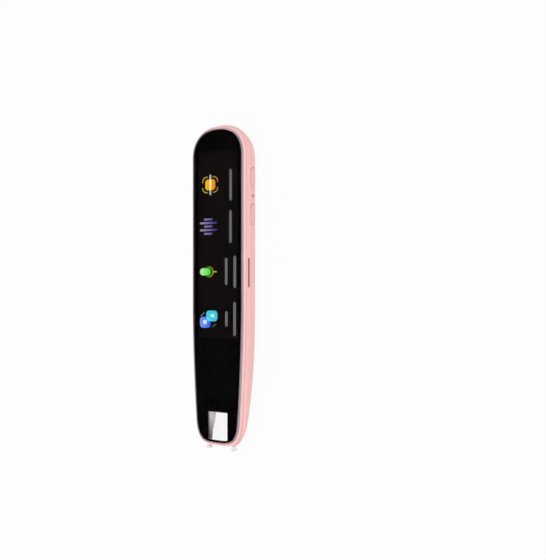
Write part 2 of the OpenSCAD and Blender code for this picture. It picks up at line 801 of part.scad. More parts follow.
module speaker_cover() {
    color(pale_pink) difference() {
        translate([0, pad_y, 0]) union() {
            edge = 0.25;
            translate([0, 0, edge])
                stadium(pad_length, pad_width, pad_width, cover_thickness - edge);
            stadium(pad_length - 2 * edge, pad_width - 2 * edge, pad_width, edge);
        }
        translate([0, grille_y, -1]) grille_slots(3);
    }
}

module speaker_mesh() {
    color("#8f4a4c") translate([0, grille_y, cover_thickness + layer_gap])
        cylinder(d = speaker_hole - 2 * fit_gap, h = 0.2);
}

module speaker_basket() {
    radius = speaker_diameter / 2;
    color("#2a2b30") translate([0, grille_y, floor_z + layer_gap]) rotate_extrude(angle = 360)
        polygon([[0, 1.9], [radius - 2.6, 1.9], [radius - 0.7, 0.5], [radius - 0.7, 0],
            [radius, 0], [radius, 1], [radius - 2, 2.2], [radius - 2, speaker_thickness],
            [0, speaker_thickness]]);
}

module speaker_cone() {
    radius = speaker_diameter / 2 - 0.8;
    color("#4a4b50") translate([0, grille_y, floor_z + layer_gap]) rotate_extrude(angle = 360)
        polygon([[0, 0.5], [2.2, 0.7], [2.6, 1.5], [radius - 1.4, 0.3], [radius, 0.3],
            [radius, 0.45], [radius - 1.3, 0.45], [2.7, 1.7], [2.1, 1.7], [2, 0.85], [0, 0.65]]);
}

// ---- Keys ----

// A key that points out of the +X side: a flange inside the wall and a stem through it
module key_body(y, length) {
    edge = 0.2;
    lap = 2 * key_flange_lap;
    translate([0, y, key_z]) {
        translate([flange_inner_x, 0, 0]) out_of_side()
            stadium(length + lap, key_width + lap, key_width + lap, key_flange);
        translate([flange_inner_x, 0, 0]) out_of_side()
            stadium(length, key_width, key_width, key_face_x - edge - flange_inner_x);
        translate([key_face_x - edge, 0, 0]) out_of_side()
            stadium(length, key_width, key_width - 2 * edge, edge);
    }
}

module power_button() {
    color(pink) key_body(power_y, power_length);
}

module mode_button() {
    mark_length = 2.9;
    mark_width = 0.6;
    color(pink) difference() {
        key_body(mode_y, mode_length);
        translate([key_face_x - 0.12, mode_y, key_z]) out_of_side()
            stadium(mark_length, mark_width, mark_width, 1);
    }
}

module key_board() {
    low = mode_y - mode_length / 2 - 1.6;
    high = power_y + power_length / 2 + 1.6;
    color(board_green) difference() {
        translate([key_board_x - board_thickness, low, key_z - 2.4])
            cube([board_thickness, high - low, board_under - layer_gap - key_z + 2.4]);
        for (y = [low + 2, high - 2]) translate([0, y, key_z - 1]) out_of_side()
            cylinder(d = 1, h = casing_width);
    }
}

module key_switches() {
    color("#d8d8d4") for (y = [power_y, mode_y]) difference() {
        translate([key_board_x, y - 1.7, key_z - 1.3])
            cube([switch_thickness, 3.4, 2.6]);
        translate([switch_x - switch_pocket, y, key_z]) out_of_side()
            cylinder(d = plunger_diameter + 2 * slide_gap, h = 3);
    }
}

// A switch's plunger, which its key carries inwards
module key_plunger(y) {
    reach = switch_pocket - key_travel - slide_gap + flange_inner_x - switch_x;
    color("#3a3b3f") translate([flange_inner_x - reach, y, key_z]) out_of_side()
        cylinder(d = plunger_diameter, h = reach);
}

module power_plunger() {
    key_plunger(power_y);
}

module mode_plunger() {
    key_plunger(mode_y);
}

module microphone() {
    color("#c9ccd0") translate([key_board_x, mic_y - 1.5, key_z - 1.2]) cube([1, 3, 2.4]);
}

module mic_boot() {
    color("#2b2b2e") translate([key_board_x + 1, mic_y, key_z]) out_of_side() difference() {
        cylinder(d = boot_diameter, h = inner_wall_x - key_board_x - 1 - layer_gap);
        translate([0, 0, -1]) cylinder(d = 0.9, h = 5);
    }
}

// ---- Ports ----

module card_socket() {
    cover = 0.15;
    color(steel) translate([socket_x - socket_depth, slot_y - socket_length / 2, board_top])
        difference() {
            cube([socket_depth, socket_length, socket_top - board_top]);
            translate([cover + 1, 1, cover])
                cube([socket_depth, socket_length - 2, socket_top - board_top - 2 * cover]);
        }
}

module usb_shell() {
    inner = usb_height - 2 * usb_wall;
    color(steel) translate([0, usb_mouth - usb_length, usb_z]) rotate([0, 90, 90]) difference() {
        stadium(usb_width, usb_height, usb_height, usb_length);
        translate([0, 0, 0.5])
            stadium(usb_width - 2 * usb_wall, inner, inner, usb_length);
    }
}

module usb_tongue() {
    back = usb_mouth - usb_length + 0.5 + layer_gap;
    color("#1c1c1f") {
        block(6.7, back, usb_mouth - 0.8, usb_z - 0.35, usb_z + 0.35);
        block(7.2, back, back + 1.4, usb_z - 0.9, usb_z + 0.9);
    }
}

// ---- Scan head ----

module optics_holder() {
    half = half_at(holder_front, inner_inset) - 1.6;
    low = back_at(holder_front) + wall + back_crown + 0.3;
    color("#3b3d42") difference() {
        union() {
            translate([0, holder_back, 0]) rotate([90, 0, 0]) linear_extrude(holder_thickness)
                polygon([[-half, arm_top], [-half, low + 3.2], [-half + 3.2, low],
                    [half - 3.2, low], [half, low + 3.2], [half, arm_top]]);
            for (x = [-1, 1]) translate([x * spring_x, holder_front, spring_z])
                rotate([90, 0, 0]) cylinder(d = spring_pin, h = 0.9);
        }
        translate([0, holder_back + 1, view_z]) rotate([90, 0, 0])
            cylinder(d = barrel_diameter + 2 * fit_gap, h = 4);
        translate([0, holder_back + 1, plunger_z]) rotate([90, 0, 0])
            cylinder(d = plunger_diameter + 4 * slide_gap, h = 4);
    }
}

module scan_camera() {
    color("#26272b") {
        block(camera_width, camera_front, camera_back - 0.8, view_z - camera_height / 2,
            view_z + camera_height / 2);
        block(camera_width - 0.6, camera_back - 0.8, camera_back, view_z - camera_height / 2 + 0.3,
            view_z + camera_height / 2 - 0.3);
    }
}

module camera_lens() {
    reach = 4;
    color("#101114") translate([0, camera_front, view_z]) rotate([90, 0, 0]) difference() {
        cylinder(d = barrel_diameter, h = reach);
        translate([0, 0, reach - 0.5]) cylinder(d1 = 1.6, d2 = 3.4, h = 0.6);
    }
}

module camera_flex() {
    color("#b8862b") ribbon([camera_back + layer_gap, view_z],
        [camera_back + 3 - layer_gap, board_under - 0.6], 5, 0.15);
}

module light_board() {
    color(board_green) difference() {
        block(light_width, light_front, light_back, view_z - light_height / 2,
            view_z + light_height / 2);
        translate([0, light_back + 1, view_z]) rotate([90, 0, 0])
            cylinder(d = barrel_diameter + 2 * fit_gap, h = 4);
    }
}

module scan_lights() {
    lamp = 1.2;
    outer = light_width / 2 - 2;
    color("#f6f0c8") for (x = [-outer, 2 - outer, outer - 2, outer]) translate([x, 0, 0])
        block(lamp, light_front - lamp / 2, light_front, view_z - 0.75 * lamp,
            view_z + 0.75 * lamp);
}

module scan_pane() {
    color([0.6, 0.65, 0.7, 0.4]) translate([0, notch_y + 0.2 + pane_thickness, view_z])
        rotate([90, 0, 0]) linear_extrude(pane_thickness)
        round_rectangle(aperture_width - 2 * fit_gap, aperture_height - 2 * fit_gap, 0.7);
}

module trigger_slider() {
    outer = arm_x + arm_width / 2;
    start = notch_y - 1;
    color([0.93, 0.84, 0.84, 0.7]) {
        for (m = [0, 1]) mirror([m, 0, 0]) {
            // An arm that narrows towards its foot, in plan and from the side
            intersection() {
                translate([0, 0, arm_low]) linear_extrude(arm_depth) polygon([
                    [outer, foot_top], [outer, cross_back], [outer - arm_width, cross_back],
                    [outer - arm_width, start], [outer - arm_tip_width, foot_top]]);
                rotate([90, 0, 90]) linear_extrude(outer + 1) polygon([
                    [foot_top - 1, arm_top], [foot_top - 1, arm_top - foot_depth],
                    [foot_top, arm_top - foot_depth], [start, arm_low], [cross_back + 1, arm_low],
                    [cross_back + 1, arm_top]]);
            }
            // The foot: a round glide that is wider than its arm
            foot_x = arm_x + (foot_width - arm_width) / 2;
            intersection() {
                translate([foot_x, tip_y - foot_proud + foot_width / 2, arm_top - foot_depth])
                    cylinder(d = foot_width, h = foot_depth);
                translate([foot_x, 0, 0])
                    block(foot_width, foot_top - foot_proud - 1, foot_top, arm_low - 1,
                        arm_top + 1);
            }
        }
        block(2 * arm_x, cross_front, cross_back, arm_top - cross_height, arm_top);
    }
}

// A coil spring along Y, as a round wire on a helix whose ends lie inside its length
module coil_spring(diameter, wire, length, turns) {
    steps = 14;
    sides = 6;
    count = round(turns * steps);
    middle = (diameter - wire) / 2;
    ring = [for (i = [0 : count], s = [0 : sides - 1])
        let (a = 360 * i / steps, r = middle + wire / 2 * cos(360 * s / sides))
        [r * cos(a), wire / 2 + (length - wire) * i / count + wire / 2 * sin(360 * s / sides),
            r * sin(a)]];
    polyhedron(points = ring, faces = concat(
        [[for (s = [0 : sides - 1]) s]],
        [for (i = [0 : count - 1], s = [0 : sides - 1], half = [0, 1])
            let (a = i * sides + s, b = i * sides + (s + 1) % sides)
            half == 0 ? [a, a + sides, b + sides] : [a, b + sides, b]],
        [[for (s = [sides - 1 : -1 : 0]) count * sides + s]]));
}

module trigger_springs() {
    color(steel) for (x = [-1, 1]) translate([x * spring_x, cross_back, spring_z])
        coil_spring(spring_diameter, spring_wire, spring_length, spring_turns);
}

module trigger_switch() {
    front = board_low + 0.3;
    color("#26272b") difference() {
        block(4.4, front, front + 3.4, board_top, board_top + 1.6);
        translate([0, front + 2.4, plunger_z]) rotate([90, 0, 0])
            cylinder(d = plunger_diameter + 2 * slide_gap, h = 4);
    }
}

module trigger_plunger() {
    length = board_low + 0.3 + 2.4 - trigger_travel - slide_gap - cross_back;
    color("#d8d8d4") translate([0, cross_back + length, plunger_z]) rotate([90, 0, 0])
        cylinder(d = plunger_diameter, h = length);
}

rear_shell();
front_frame();
cover_glass();
black_print();
display_panel();
display_bracket();
display_flex();
main_board();
board_chips();
board_connectors();
shield_can();
case_screws();
battery();
battery_tape();
battery_leads();
speaker_cover();
speaker_mesh();
speaker_basket();
speaker_cone();
power_button();
mode_button();
key_board();
key_switches();
power_plunger();
mode_plunger();
microphone();
mic_boot();
card_socket();
usb_shell();
usb_tongue();
optics_holder();
scan_camera();
camera_lens();
camera_flex();
light_board();
scan_lights();
scan_pane();
trigger_slider();
trigger_springs();
trigger_switch();
trigger_plunger();
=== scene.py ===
import math

import bmesh
import bpy
from mathutils import Matrix, Vector


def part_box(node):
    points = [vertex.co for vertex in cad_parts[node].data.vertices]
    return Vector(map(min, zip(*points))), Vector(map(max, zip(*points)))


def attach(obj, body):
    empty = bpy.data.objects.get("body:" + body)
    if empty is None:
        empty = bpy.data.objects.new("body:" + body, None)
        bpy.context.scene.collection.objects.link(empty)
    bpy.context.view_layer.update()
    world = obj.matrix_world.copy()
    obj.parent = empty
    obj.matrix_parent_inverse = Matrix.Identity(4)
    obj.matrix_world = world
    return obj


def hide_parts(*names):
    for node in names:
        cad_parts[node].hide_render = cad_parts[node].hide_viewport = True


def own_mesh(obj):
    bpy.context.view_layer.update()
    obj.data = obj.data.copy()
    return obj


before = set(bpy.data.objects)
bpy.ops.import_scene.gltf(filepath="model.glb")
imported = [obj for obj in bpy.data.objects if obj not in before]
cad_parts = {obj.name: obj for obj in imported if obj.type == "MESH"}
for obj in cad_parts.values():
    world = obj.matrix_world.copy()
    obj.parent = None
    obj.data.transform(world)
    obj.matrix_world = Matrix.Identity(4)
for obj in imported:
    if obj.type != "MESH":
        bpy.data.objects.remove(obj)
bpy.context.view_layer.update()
mm = 0.001

# ---- The table, the light and the camera ----
# The pen lies on its speaker pad on a plain white table, with the screen up. A broad lamp
# hangs above, a long one stands beside the keys and a small one beyond the tip.


def linear(hex_colour):
    """A #rrggbb colour as the linear values that a shader takes."""
    parts = [int(hex_colour[i : i + 2], 16) / 255 for i in (1, 3, 5)]
    return tuple(c / 12.92 if c <= 0.04045 else ((c + 0.055) / 1.055) ** 2.4 for c in parts) + (1,)


def new_finish(name):
    """An empty material with its main shader, and where a point lies on the piece."""
    finish = bpy.data.materials.new(name)
    finish.use_nodes = True
    shader = finish.node_tree.nodes["Principled BSDF"]
    place = finish.node_tree.nodes.new("ShaderNodeTexCoord").outputs["Object"]
    return finish, shader, place


def add_node(finish, kind, settings=(), feeds=()):
    """Adds a node, sets its sockets or properties, and links what feeds it."""
    node = finish.node_tree.nodes.new(kind)
    for name, value in dict(settings).items():
        if isinstance(name, int) or name in node.inputs:
            node.inputs[name].default_value = value
        else:
            setattr(node, name, value)
    for name, source in dict(feeds).items():
        finish.node_tree.links.new(source, node.inputs[name])
    return node


def feed(finish, source, socket):
    finish.node_tree.links.new(source, socket)


def reckon(finish, operation, *terms):
    """One step of arithmetic on sockets and plain numbers."""
    node = add_node(finish, "ShaderNodeMath", {"operation": operation})
    for term, socket in zip(terms, node.inputs):
        if isinstance(term, float):
            socket.default_value = term
        else:
            feed(finish, term, socket)
    return node.outputs[0]


def spread(finish, value, low, high):
    """Spreads a value that runs from 0 to 1 between two others."""
    settings = {"To Min": low, "To Max": high}
    return add_node(finish, "ShaderNodeMapRange", settings, {"Value": value}).outputs[0]


def white_to_rays(finish):
    """1 for a ray from the eye, from a mirroring surface or through glass, otherwise 0."""
    rays = add_node(finish, "ShaderNodeLightPath")
    ways = rays.outputs["Is Camera Ray"]
    for kind in ("Is Transmission Ray", "Is Glossy Ray"):
        ways = reckon(finish, "MAXIMUM", ways, rays.outputs[kind])
    return ways


camera_data = bpy.data.cameras.new("camera")
camera_data.lens = 55.8
camera_data.sensor_width = 36
camera_data.shift_x = 0.0849
camera_data.shift_y = 0.0107
camera = bpy.data.objects.new("camera", camera_data)
bpy.context.scene.collection.objects.link(camera)
camera.location = (232.39 * mm, 0.6 * mm, 327.26 * mm)
camera.rotation_euler = (0, math.radians(36), 0)
bpy.context.scene.camera = camera

bpy.context.scene.view_settings.view_transform = "Standard"
world = bpy.data.worlds.new("studio")
bpy.context.scene.world = world
world.use_nodes = True
sky = world.node_tree.nodes["Background"]
sky.inputs["Color"].default_value = (1, 1, 1, 1)
# White to the eye and to what mirrors it, and half of that as light on the pen
feed(world, spread(world, white_to_rays(world), 0.5, 1.0), sky.inputs["Strength"])

for name, place, size, power in (
    ("lamp_above", (0.12, 0.15, 0.62), (0.5, 0.5), 1.5),
    ("lamp_beside_keys", (0.62, -0.05, 0.07), (0.6, 0.12), 1.25),
    ("lamp_beyond_tip", (-0.36, -0.5, 0.2), (0.4, 0.16), 1.3),
):
    lamp_data = bpy.data.lights.new(name, "AREA")
    lamp_data.shape = "RECTANGLE"
    lamp_data.size, lamp_data.size_y = size
    lamp_data.energy = power
    lamp = bpy.data.objects.new(name, lamp_data)
    lamp.location = place
    lamp.rotation_euler = (-Vector(place)).to_track_quat("-Z", "Y").to_euler()
    bpy.context.scene.collection.objects.link(lamp)

# The table: white to the eye, and still takes the pen's shadow
bpy.ops.mesh.primitive_plane_add(size=6)
table = bpy.context.object
table.name = "table"
white_table, shader, _ = new_finish("white_painted_board")
shader.inputs["Base Color"].default_value = linear("#e8e8e8")
shader.inputs["Roughness"].default_value = 0.9
shader.inputs["Specular IOR Level"].default_value = 0.1
share = reckon(white_table, "MULTIPLY", white_to_rays(white_table), 0.94)
glow = add_node(white_table, "ShaderNodeEmission", {"Color": (1, 1, 1, 1), "Strength": 1.0})
both = add_node(
    white_table, "ShaderNodeMixShader", (), {0: share, 1: shader.outputs[0], 2: glow.outputs[0]}
)
feed(white_table, both.outputs[0], white_table.node_tree.nodes["Material Output"].inputs["Surface"])
table.data.materials.append(white_table)

# ---- Rear shell ----
# One injection-moulded ABS part with a satin face: a tapered tub with bulging sides that
# rises at the tip, where it is cut through for the scan notch. Its back dishes up to the
# raised speaker pad. Posts for the board and ribs for the battery stand inside.

tip_y, top_y = -72.4, 73.6
back_z, seam_z, wall = 0.8, 12.1, 1.5
notch_y, notch_half = -54.4, 7.5
end_reach = 15  # the length at each end over which the outline closes
key_z, key_half, mic_y = 7.7, 1.5, 40.7
power_y, power_half, mode_y, mode_half = 49.1, 4.0, 32.5, 4.45
port_z, port_half_wide, port_half_high = 7.5, 4.47, 1.6
slot_y, slot_z = 6.5, 10.55
pad_y, pad_half_wide, pad_half_long = 46.0, 8.4, 16.45
grille_y = 52.6


def side_half(y):
    """Half the width at the widest line, with the ends not yet rounded."""
    return 15.5 - 3.1 * max(0, (tip_y + 65 - y) / 65) ** 1.76


def back_at(y):
    """Height of the middle of the back."""
    rise = 7.2 * max(0, (tip_y + 45 - y) / 45) ** 2.16
    return back_z + rise + 3 * max(0, (y - top_y + 21) / 21) ** 2.2


def plan(inset, ends, sides):
    """The outline moved in by an inset, up the right side and down the left."""
    right = []
    for i in range(ends + sides + ends + 1):
        if ends <= i <= ends + sides:
            y = tip_y + end_reach + (i - ends) / sides * (top_y - tip_y - 2 * end_reach)
            right.append((side_half(y) - inset, y))
            continue
        at_tip = i < ends
        turn = math.radians(90 * (ends - i if at_tip else i - ends - sides) / ends)
        power = 2 / (3.6 if at_tip else 2.3)
        cap = tip_y + end_reach if at_tip else top_y - end_reach
        reach = (end_reach - 1.17 * inset) * math.sin(turn) ** power * (-1 if at_tip else 1)
        half = (side_half(cap + reach) - inset) * max(0, math.cos(turn)) ** power
        right.append((half, cap + reach))
    return right + [(-x, y) for x, y in right[-2:0:-1]]


def select_only(piece):
    bpy.ops.object.select_all(action="DESELECT")
    piece.select_set(True)
    bpy.context.view_layer.objects.active = piece


def tidy_normals(piece):
    """Merges doubles and turns every face outwards."""
    select_only(piece)
    bpy.ops.object.mode_set(mode="EDIT")
    bpy.ops.mesh.select_all(action="SELECT")
    bpy.ops.mesh.remove_doubles(threshold=1e-7)
    bpy.ops.mesh.normals_make_consistent(inside=False)
    bpy.ops.object.mode_set(mode="OBJECT")


def new_piece(name, points, faces, finish):
    """A closed mesh from points in millimetres."""
    mesh = bpy.data.meshes.new(name)
    mesh.from_pydata([tuple(c * mm for c in p) for p in points], [], faces)
    mesh.update()
    piece = bpy.data.objects.new(name, mesh)
    bpy.context.scene.collection.objects.link(piece)
    if finish:
        mesh.materials.append(finish)
    tidy_normals(piece)
    return piece


def ring_faces(size, pairs):
    """The faces that join rings of points, each pair in turn."""
    return [
        (a * size + i, a * size + (i + 1) % size, b * size + (i + 1) % size, b * size + i)
        for a, b in pairs
        for i in range(size)
    ]


def dished(x, y, z):
    """The back dishes up to a land 0.4 mm wide round the speaker pad."""
    land_z, reach = 0.15, 3.4
    away = math.hypot(x, max(0, abs(y - pad_y) - (pad_half_long - pad_half_wide)))
    t = (away - (pad_half_wide + 0.4)) / reach
    return z - (z - land_z) * (1 - max(0, t)) ** 2.3 if z < 4 and t < 1 else z


def leaned(x, y, z):
    """Both ends lean in towards the back: by 1.1 mm at the top and 2.4 mm at the tip."""
    depth = seam_z - z
    y -= 1.1 * max(0, (y - top_y + end_reach) / end_reach) * min(1, max(0, depth / 5))
    y += 2.4 * max(0, (tip_y + 9 - y) / 9) * min(1, max(0, (depth - 0.5) / 2.5))
    return x, y, z


# Steps inward and down from the seam: a rebate round the rim, seen as a fine dark line.
rebate = ((0.6, 0.0), (0.6, 0.24), (0.12, 0.24), (0.04, 0.28), (0.0, 0.4))


def casing_body(name, offset, top, ends, sides, steps, rows, finish):
    """The casing as one solid, moved in by an offset, from its flat top to the crowned back."""
    tuck, crown = 0.8, 0.35
    corner = 6.4 - offset
    outside = offset == 0

    def low_edge(y):
        return back_at(y) + offset + crown

    def round_height(y):
        return min(7.85 - offset, 0.75 * (seam_z - low_edge(y)))

    rings = []
    for inward, down in rebate if outside else ((0.0, 0.0),):
        rings.append([(x, y, top - down) for x, y in plan(offset + tuck + inward, ends, sides)])
    high = seam_z - rebate[-1][1] if outside else seam_z
    for i in range(0 if top > seam_z else 1, steps + 1):
        t = i / steps
        rings.append([
            (x, y, high + (low_edge(y) + round_height(y) - high) * t)
            for x, y in plan(offset + tuck * (1 - t) ** 2, ends, sides)
        ])
    for i in range(1, 2 * steps + 1):
        a = math.radians(90 * i / (2 * steps))
        rings.append([
            (x, y, low_edge(y) + round_height(y) * (1 - math.sin(a)))
            for x, y in plan(offset + corner * (1 - math.cos(a)), ends, sides)
        ])
    size = len(rings[0])
    last = size // 2
    edge = rings[-1]
    points = [p for ring in rings for p in ring]
    base = (len(rings) - 1) * size
    inner = len(points)
    for x, y, _ in edge[1:last]:
        for m in range(1, rows):
            t = 1 - 2 * m / rows
            points.append((x * t, y, back_at(y) + offset + crown * t * t))

    def back_point(k, m):
        if k in (0, last) or m == 0:
            return base + k
        return base + size - k if m == rows else inner + (k - 1) * (rows - 1) + m - 1

    faces = [tuple(range(size))] + ring_faces(size, [(r, r + 1) for r in range(len(rings) - 1)])
    for k in range(last):
        for m in range(rows):
            around = (k, m), (k, m + 1), (k + 1, m + 1), (k + 1, m)
            corners = tuple(dict.fromkeys(back_point(*place) for place in around))
            if len(corners) > 2:
                faces.append(corners)
    if outside:
        points = [(x, y, dished(x, y, z)) for x, y, z in points]
    points = [leaned(*point) for point in points]
    return new_piece(name, points, faces, finish)


def pick(piece, kind, test):
    """In edit mode, selects the faces or edges that pass a test."""
    select_only(piece)
    bpy.ops.object.mode_set(mode="EDIT")
    bpy.ops.mesh.select_mode(type=kind)
    bpy.ops.mesh.select_all(action="DESELECT")
    shape = bmesh.from_edit_mesh(piece.data)
    for item in shape.faces if kind == "FACE" else shape.edges:
        if test(item):
            item.select_set(True)
    bmesh.update_edit_mesh(piece.data)


def round_block(name, low, high, axis=None, radius=0.0, steps=10, finish=None):
    """A block between two corners in mm, with the edges along one axis rounded."""
    bpy.ops.object.select_all(action="DESELECT")
    middle = [(a + b) / 2 * mm for a, b in zip(low, high)]
    bpy.ops.mesh.primitive_cube_add(size=1, location=middle)
    piece = bpy.context.object
    piece.name = name
    piece.scale = [(b - a) * mm for a, b in zip(low, high)]
    bpy.ops.object.transform_apply(location=True, rotation=True, scale=True)
    if axis is not None:
        def along(edge):
            d = edge.verts[0].co - edge.verts[1].co
            return abs(d[axis]) > 0.99 * d.length

        pick(piece, "EDGE", along)
        bpy.ops.mesh.bevel(offset=radius * mm, segments=steps, affect="EDGES")
        bpy.ops.mesh.select_all(action="SELECT")
        bpy.ops.mesh.remove_doubles(threshold=1e-6)
        bpy.ops.object.mode_set(mode="OBJECT")
    if finish:
        piece.data.materials.append(finish)
    return piece


def side_bar(name, x_low, x_high, y, z, half_long, half_high, steps, finish=None):
    """A bar along X with a round-ended section, to cut or fill an opening in the side."""
    low = x_low, y - half_long, z - half_high
    high = x_high, y + half_long, z + half_high
    return round_block(name, low, high, 0, half_high - 0.001, steps, finish)


def change_by(kind, piece, tool):
    """Cuts a tool from a piece, or unites the two, and removes the tool."""
    select_only(piece)
    change = piece.modifiers.new("change", "BOOLEAN")
    change.operation = kind
    change.solver = "EXACT"
    change.object = tool
    bpy.ops.object.modifier_apply(modifier=change.name)
    bpy.data.objects.remove(tool, do_unlink=True)


def smooth(piece, angle=40):
    select_only(piece)
    bpy.ops.object.shade_smooth_by_angle(angle=math.radians(angle))


def soften(piece, width, steps=2, limit=50):
    """Rounds the sharp edges of a piece and smooths its shading."""
    select_only(piece)
    rounding = piece.modifiers.new("rounding", "BEVEL")
    rounding.width = width * mm
    rounding.segments = steps
    rounding.limit_method = "ANGLE"
    rounding.angle_limit = math.radians(limit)
    bpy.ops.object.modifier_apply(modifier=rounding.name)
    smooth(piece)


def speckle(finish, place, scale, detail):
    """Noise from 0 to 1, fixed to the piece."""
    settings = {"Scale": scale, "Detail": detail}
    return add_node(finish, "ShaderNodeTexNoise", settings, {"Vector": place}).outputs["Fac"]


def two_tones(finish, share, first, second):
    """Goes from a colour, or from what a socket gives, to another as a share goes from 0 to 1."""
    node = add_node(finish, "ShaderNodeMix", {"data_type": "RGBA", 7: linear(second)}, {0: share})
    if isinstance(first, str):
        node.inputs[6].default_value = linear(first)
    else:
        feed(finish, first, node.inputs[6])
    return node.outputs[2]


def bumps(finish, heights, strength, depth, shader):
    """Turns heights from 0 to 1 into a relief of a depth in mm."""
    settings = {"Strength": strength, "Distance": depth * mm}
    relief = add_node(finish, "ShaderNodeBump", settings, {"Height": heights})
    feed(finish, relief.outputs[0], shader.inputs["Normal"])


def moulded_plastic(name, colour, shade, roughness, grain, depth):
    """A moulded plastic: its pigment drifts a little along the flow, and the steel mould's
    spark-eroded grain shows as fine unevenness of height and gloss."""
    finish, shader, place = new_finish(name)
    drift = two_tones(finish, speckle(finish, place, 70.0, 2.0), colour, shade)
    feed(finish, drift, shader.inputs["Base Color"])
    pits = speckle(finish, place, 1 / (grain * mm), 3.0)
    pits.node.inputs["Roughness"].default_value = 0.6
    gloss = spread(finish, pits, roughness - 0.05, roughness + 0.05)
    feed(finish, gloss, shader.inputs["Roughness"])
    bumps(finish, pits, 0.5, depth, shader)
    shader.inputs["IOR"].default_value = 1.53
    return finish


# ABS in a light pink from a finely textured tool: an even satin skin with broad, soft
# highlights. The grain is drawn at 0.6 mm, coarser than it is, so that it shows at all.
pink_abs = moulded_plastic("satin_pink_abs", "#f4c1bc", "#f1bab5", 0.42, 0.6, 0.004)

# The notch's walls are sprayed off-white, so that no pink light falls on the line of print.
pink_base = pink_abs.node_tree.nodes["Principled BSDF"].inputs["Base Color"]
pigment = pink_base.links[0].from_socket
place = add_node(pink_abs, "ShaderNodeTexCoord").outputs["Object"]
spot = add_node(pink_abs, "ShaderNodeSeparateXYZ", (), {0: place})
aside = reckon(pink_abs, "ABSOLUTE", spot.outputs[0])
within = reckon(pink_abs, "LESS_THAN", aside, (notch_half + 0.05) * mm)
beyond = reckon(pink_abs, "LESS_THAN", spot.outputs[1], (notch_y + 0.05) * mm)
sprayed = reckon(pink_abs, "MULTIPLY", within, beyond)
feed(pink_abs, two_tones(pink_abs, sprayed, pigment, "#f5ecea"), pink_base)

shell = casing_body("rear_shell_tub", 0, seam_z, 30, 170, 7, 60, pink_abs)
room = casing_body("room", wall, seam_z + 1, 10, 24, 4, 8, None)
change_by("DIFFERENCE", room, round_block("legs", (-8.7, -80, -1), (8.7, -53, 16), 2, 1.5))
post_half, post_high = 1.8, 9.1
for x, y in ((8.95, -39.9), (9.3, 64.6), (10.1, 19.6)):
    for side in (-1, 1):
        low = side * x - post_half, y - post_half, -1
        high = side * x + post_half, y + post_half, post_high
        change_by("DIFFERENCE", room, round_block("post", low, high, 2, post_half - 0.01, 6))
rib_x, rib_half, rib_high = 9.72, 0.4, 5.06
for y in (-26.7, -9.4, 7.9):
    for side in (-1, 1):
        low, high = (side * rib_x - rib_half, y - 3, 0), (side * rib_x + rib_half, y + 3, rib_high)
        change_by("DIFFERENCE", room, round_block("rib", low, high))
change_by("DIFFERENCE", shell, room)
notch = (-notch_half, -80, -1), (notch_half, notch_y, 16)
change_by("DIFFERENCE", shell, round_block("notch", *notch, 2, 1.5))
aperture = (-4.5, -55, 5.05), (4.5, -52.5, 8.05)
change_by("DIFFERENCE", shell, round_block("aperture", *aperture, 1, 0.8))
for x in (-6.5, 6.5):
    change_by("DIFFERENCE", shell, round_block("guide", (x - 1, -55.4, 8.2), (x + 1, -52, 11.2)))
for y, half in ((power_y, power_half), (mode_y, mode_half)):
    for name, x_low, x_high, gap, steps in (
        ("hole", 12, 18, 0.1, 12), ("lead_in", 14.8, 18, 0.42, 12), ("seat", 10.72, 13.72, 0.8, 8),
    ):
        bar = side_bar(name, x_low, x_high, y, key_z, half + gap, key_half + gap, steps)
        change_by("DIFFERENCE", shell, bar)
for name, y, z, half_long, half_high in (
    ("microphone_hole", mic_y, key_z, 0.75, 0.75), ("card_slot", slot_y, slot_z, 6.55, 0.6),
):
    change_by("DIFFERENCE", shell, side_bar(name, 12, 18, y, z, half_long, half_high, 8))
wide, tall = port_half_wide + 0.1, port_half_high + 0.1
socket_hole = (-wide, 68, port_z - tall), (wide, 80, port_z + tall)
change_by("DIFFERENCE", shell, round_block("socket_hole", *socket_hole, 1, tall - 0.001, 10))
for name, y, wide, long, low_z, high_z, steps in (
    ("pad_seat", pad_y, pad_half_wide + 0.1, pad_half_long + 0.1, -1, 1.05, 32),
    ("speaker_hole", grille_y, 6.8, 6.8, 0, 3.3, 16),
    ("speaker_seat", grille_y, 7.6, 7.6, 2.3, 6.3, 16),
):
    opening = (-wide, y - long, low_z), (wide, y + long, high_z)
    change_by("DIFFERENCE", shell, round_block(name, *opening, 2, wide - 0.001, steps))
smooth(shell, 32)
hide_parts("rear_shell")
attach(shell, "casing")

# ---- Screen frame ----
# A second moulded ABS part, a paler pink and a little glossier, all round the cover. Its
# skirt snaps into the rear shell, and a fine line of shade marks where the two meet.

pale_abs = moulded_plastic("glossy_pale_pink_abs", "#fbd0d2", "#f8cbcc", 0.3, 0.8, 0.002)


def arc_points(inset, height, wide, high, step):
    """A quarter round that rises from (inset, height) and leans inwards."""
    return [
        (inset + wide * (1 - math.cos(math.radians(a))), height + high * math.sin(math.radians(a)))
        for a in range(0, 91, step)
    ]


def sweep_round(name, section, ends, sides, finish):
    """Sweeps a closed section of (inset, height) points round the casing's outline."""
    points = [(x, y, z) for inset, z in section for x, y in plan(inset, ends, sides)]
    size = len(points) // len(section)
    pairs = [(r, (r + 1) % len(section)) for r in range(len(section))]
    return new_piece(name, points, ring_faces(size, pairs), finish)


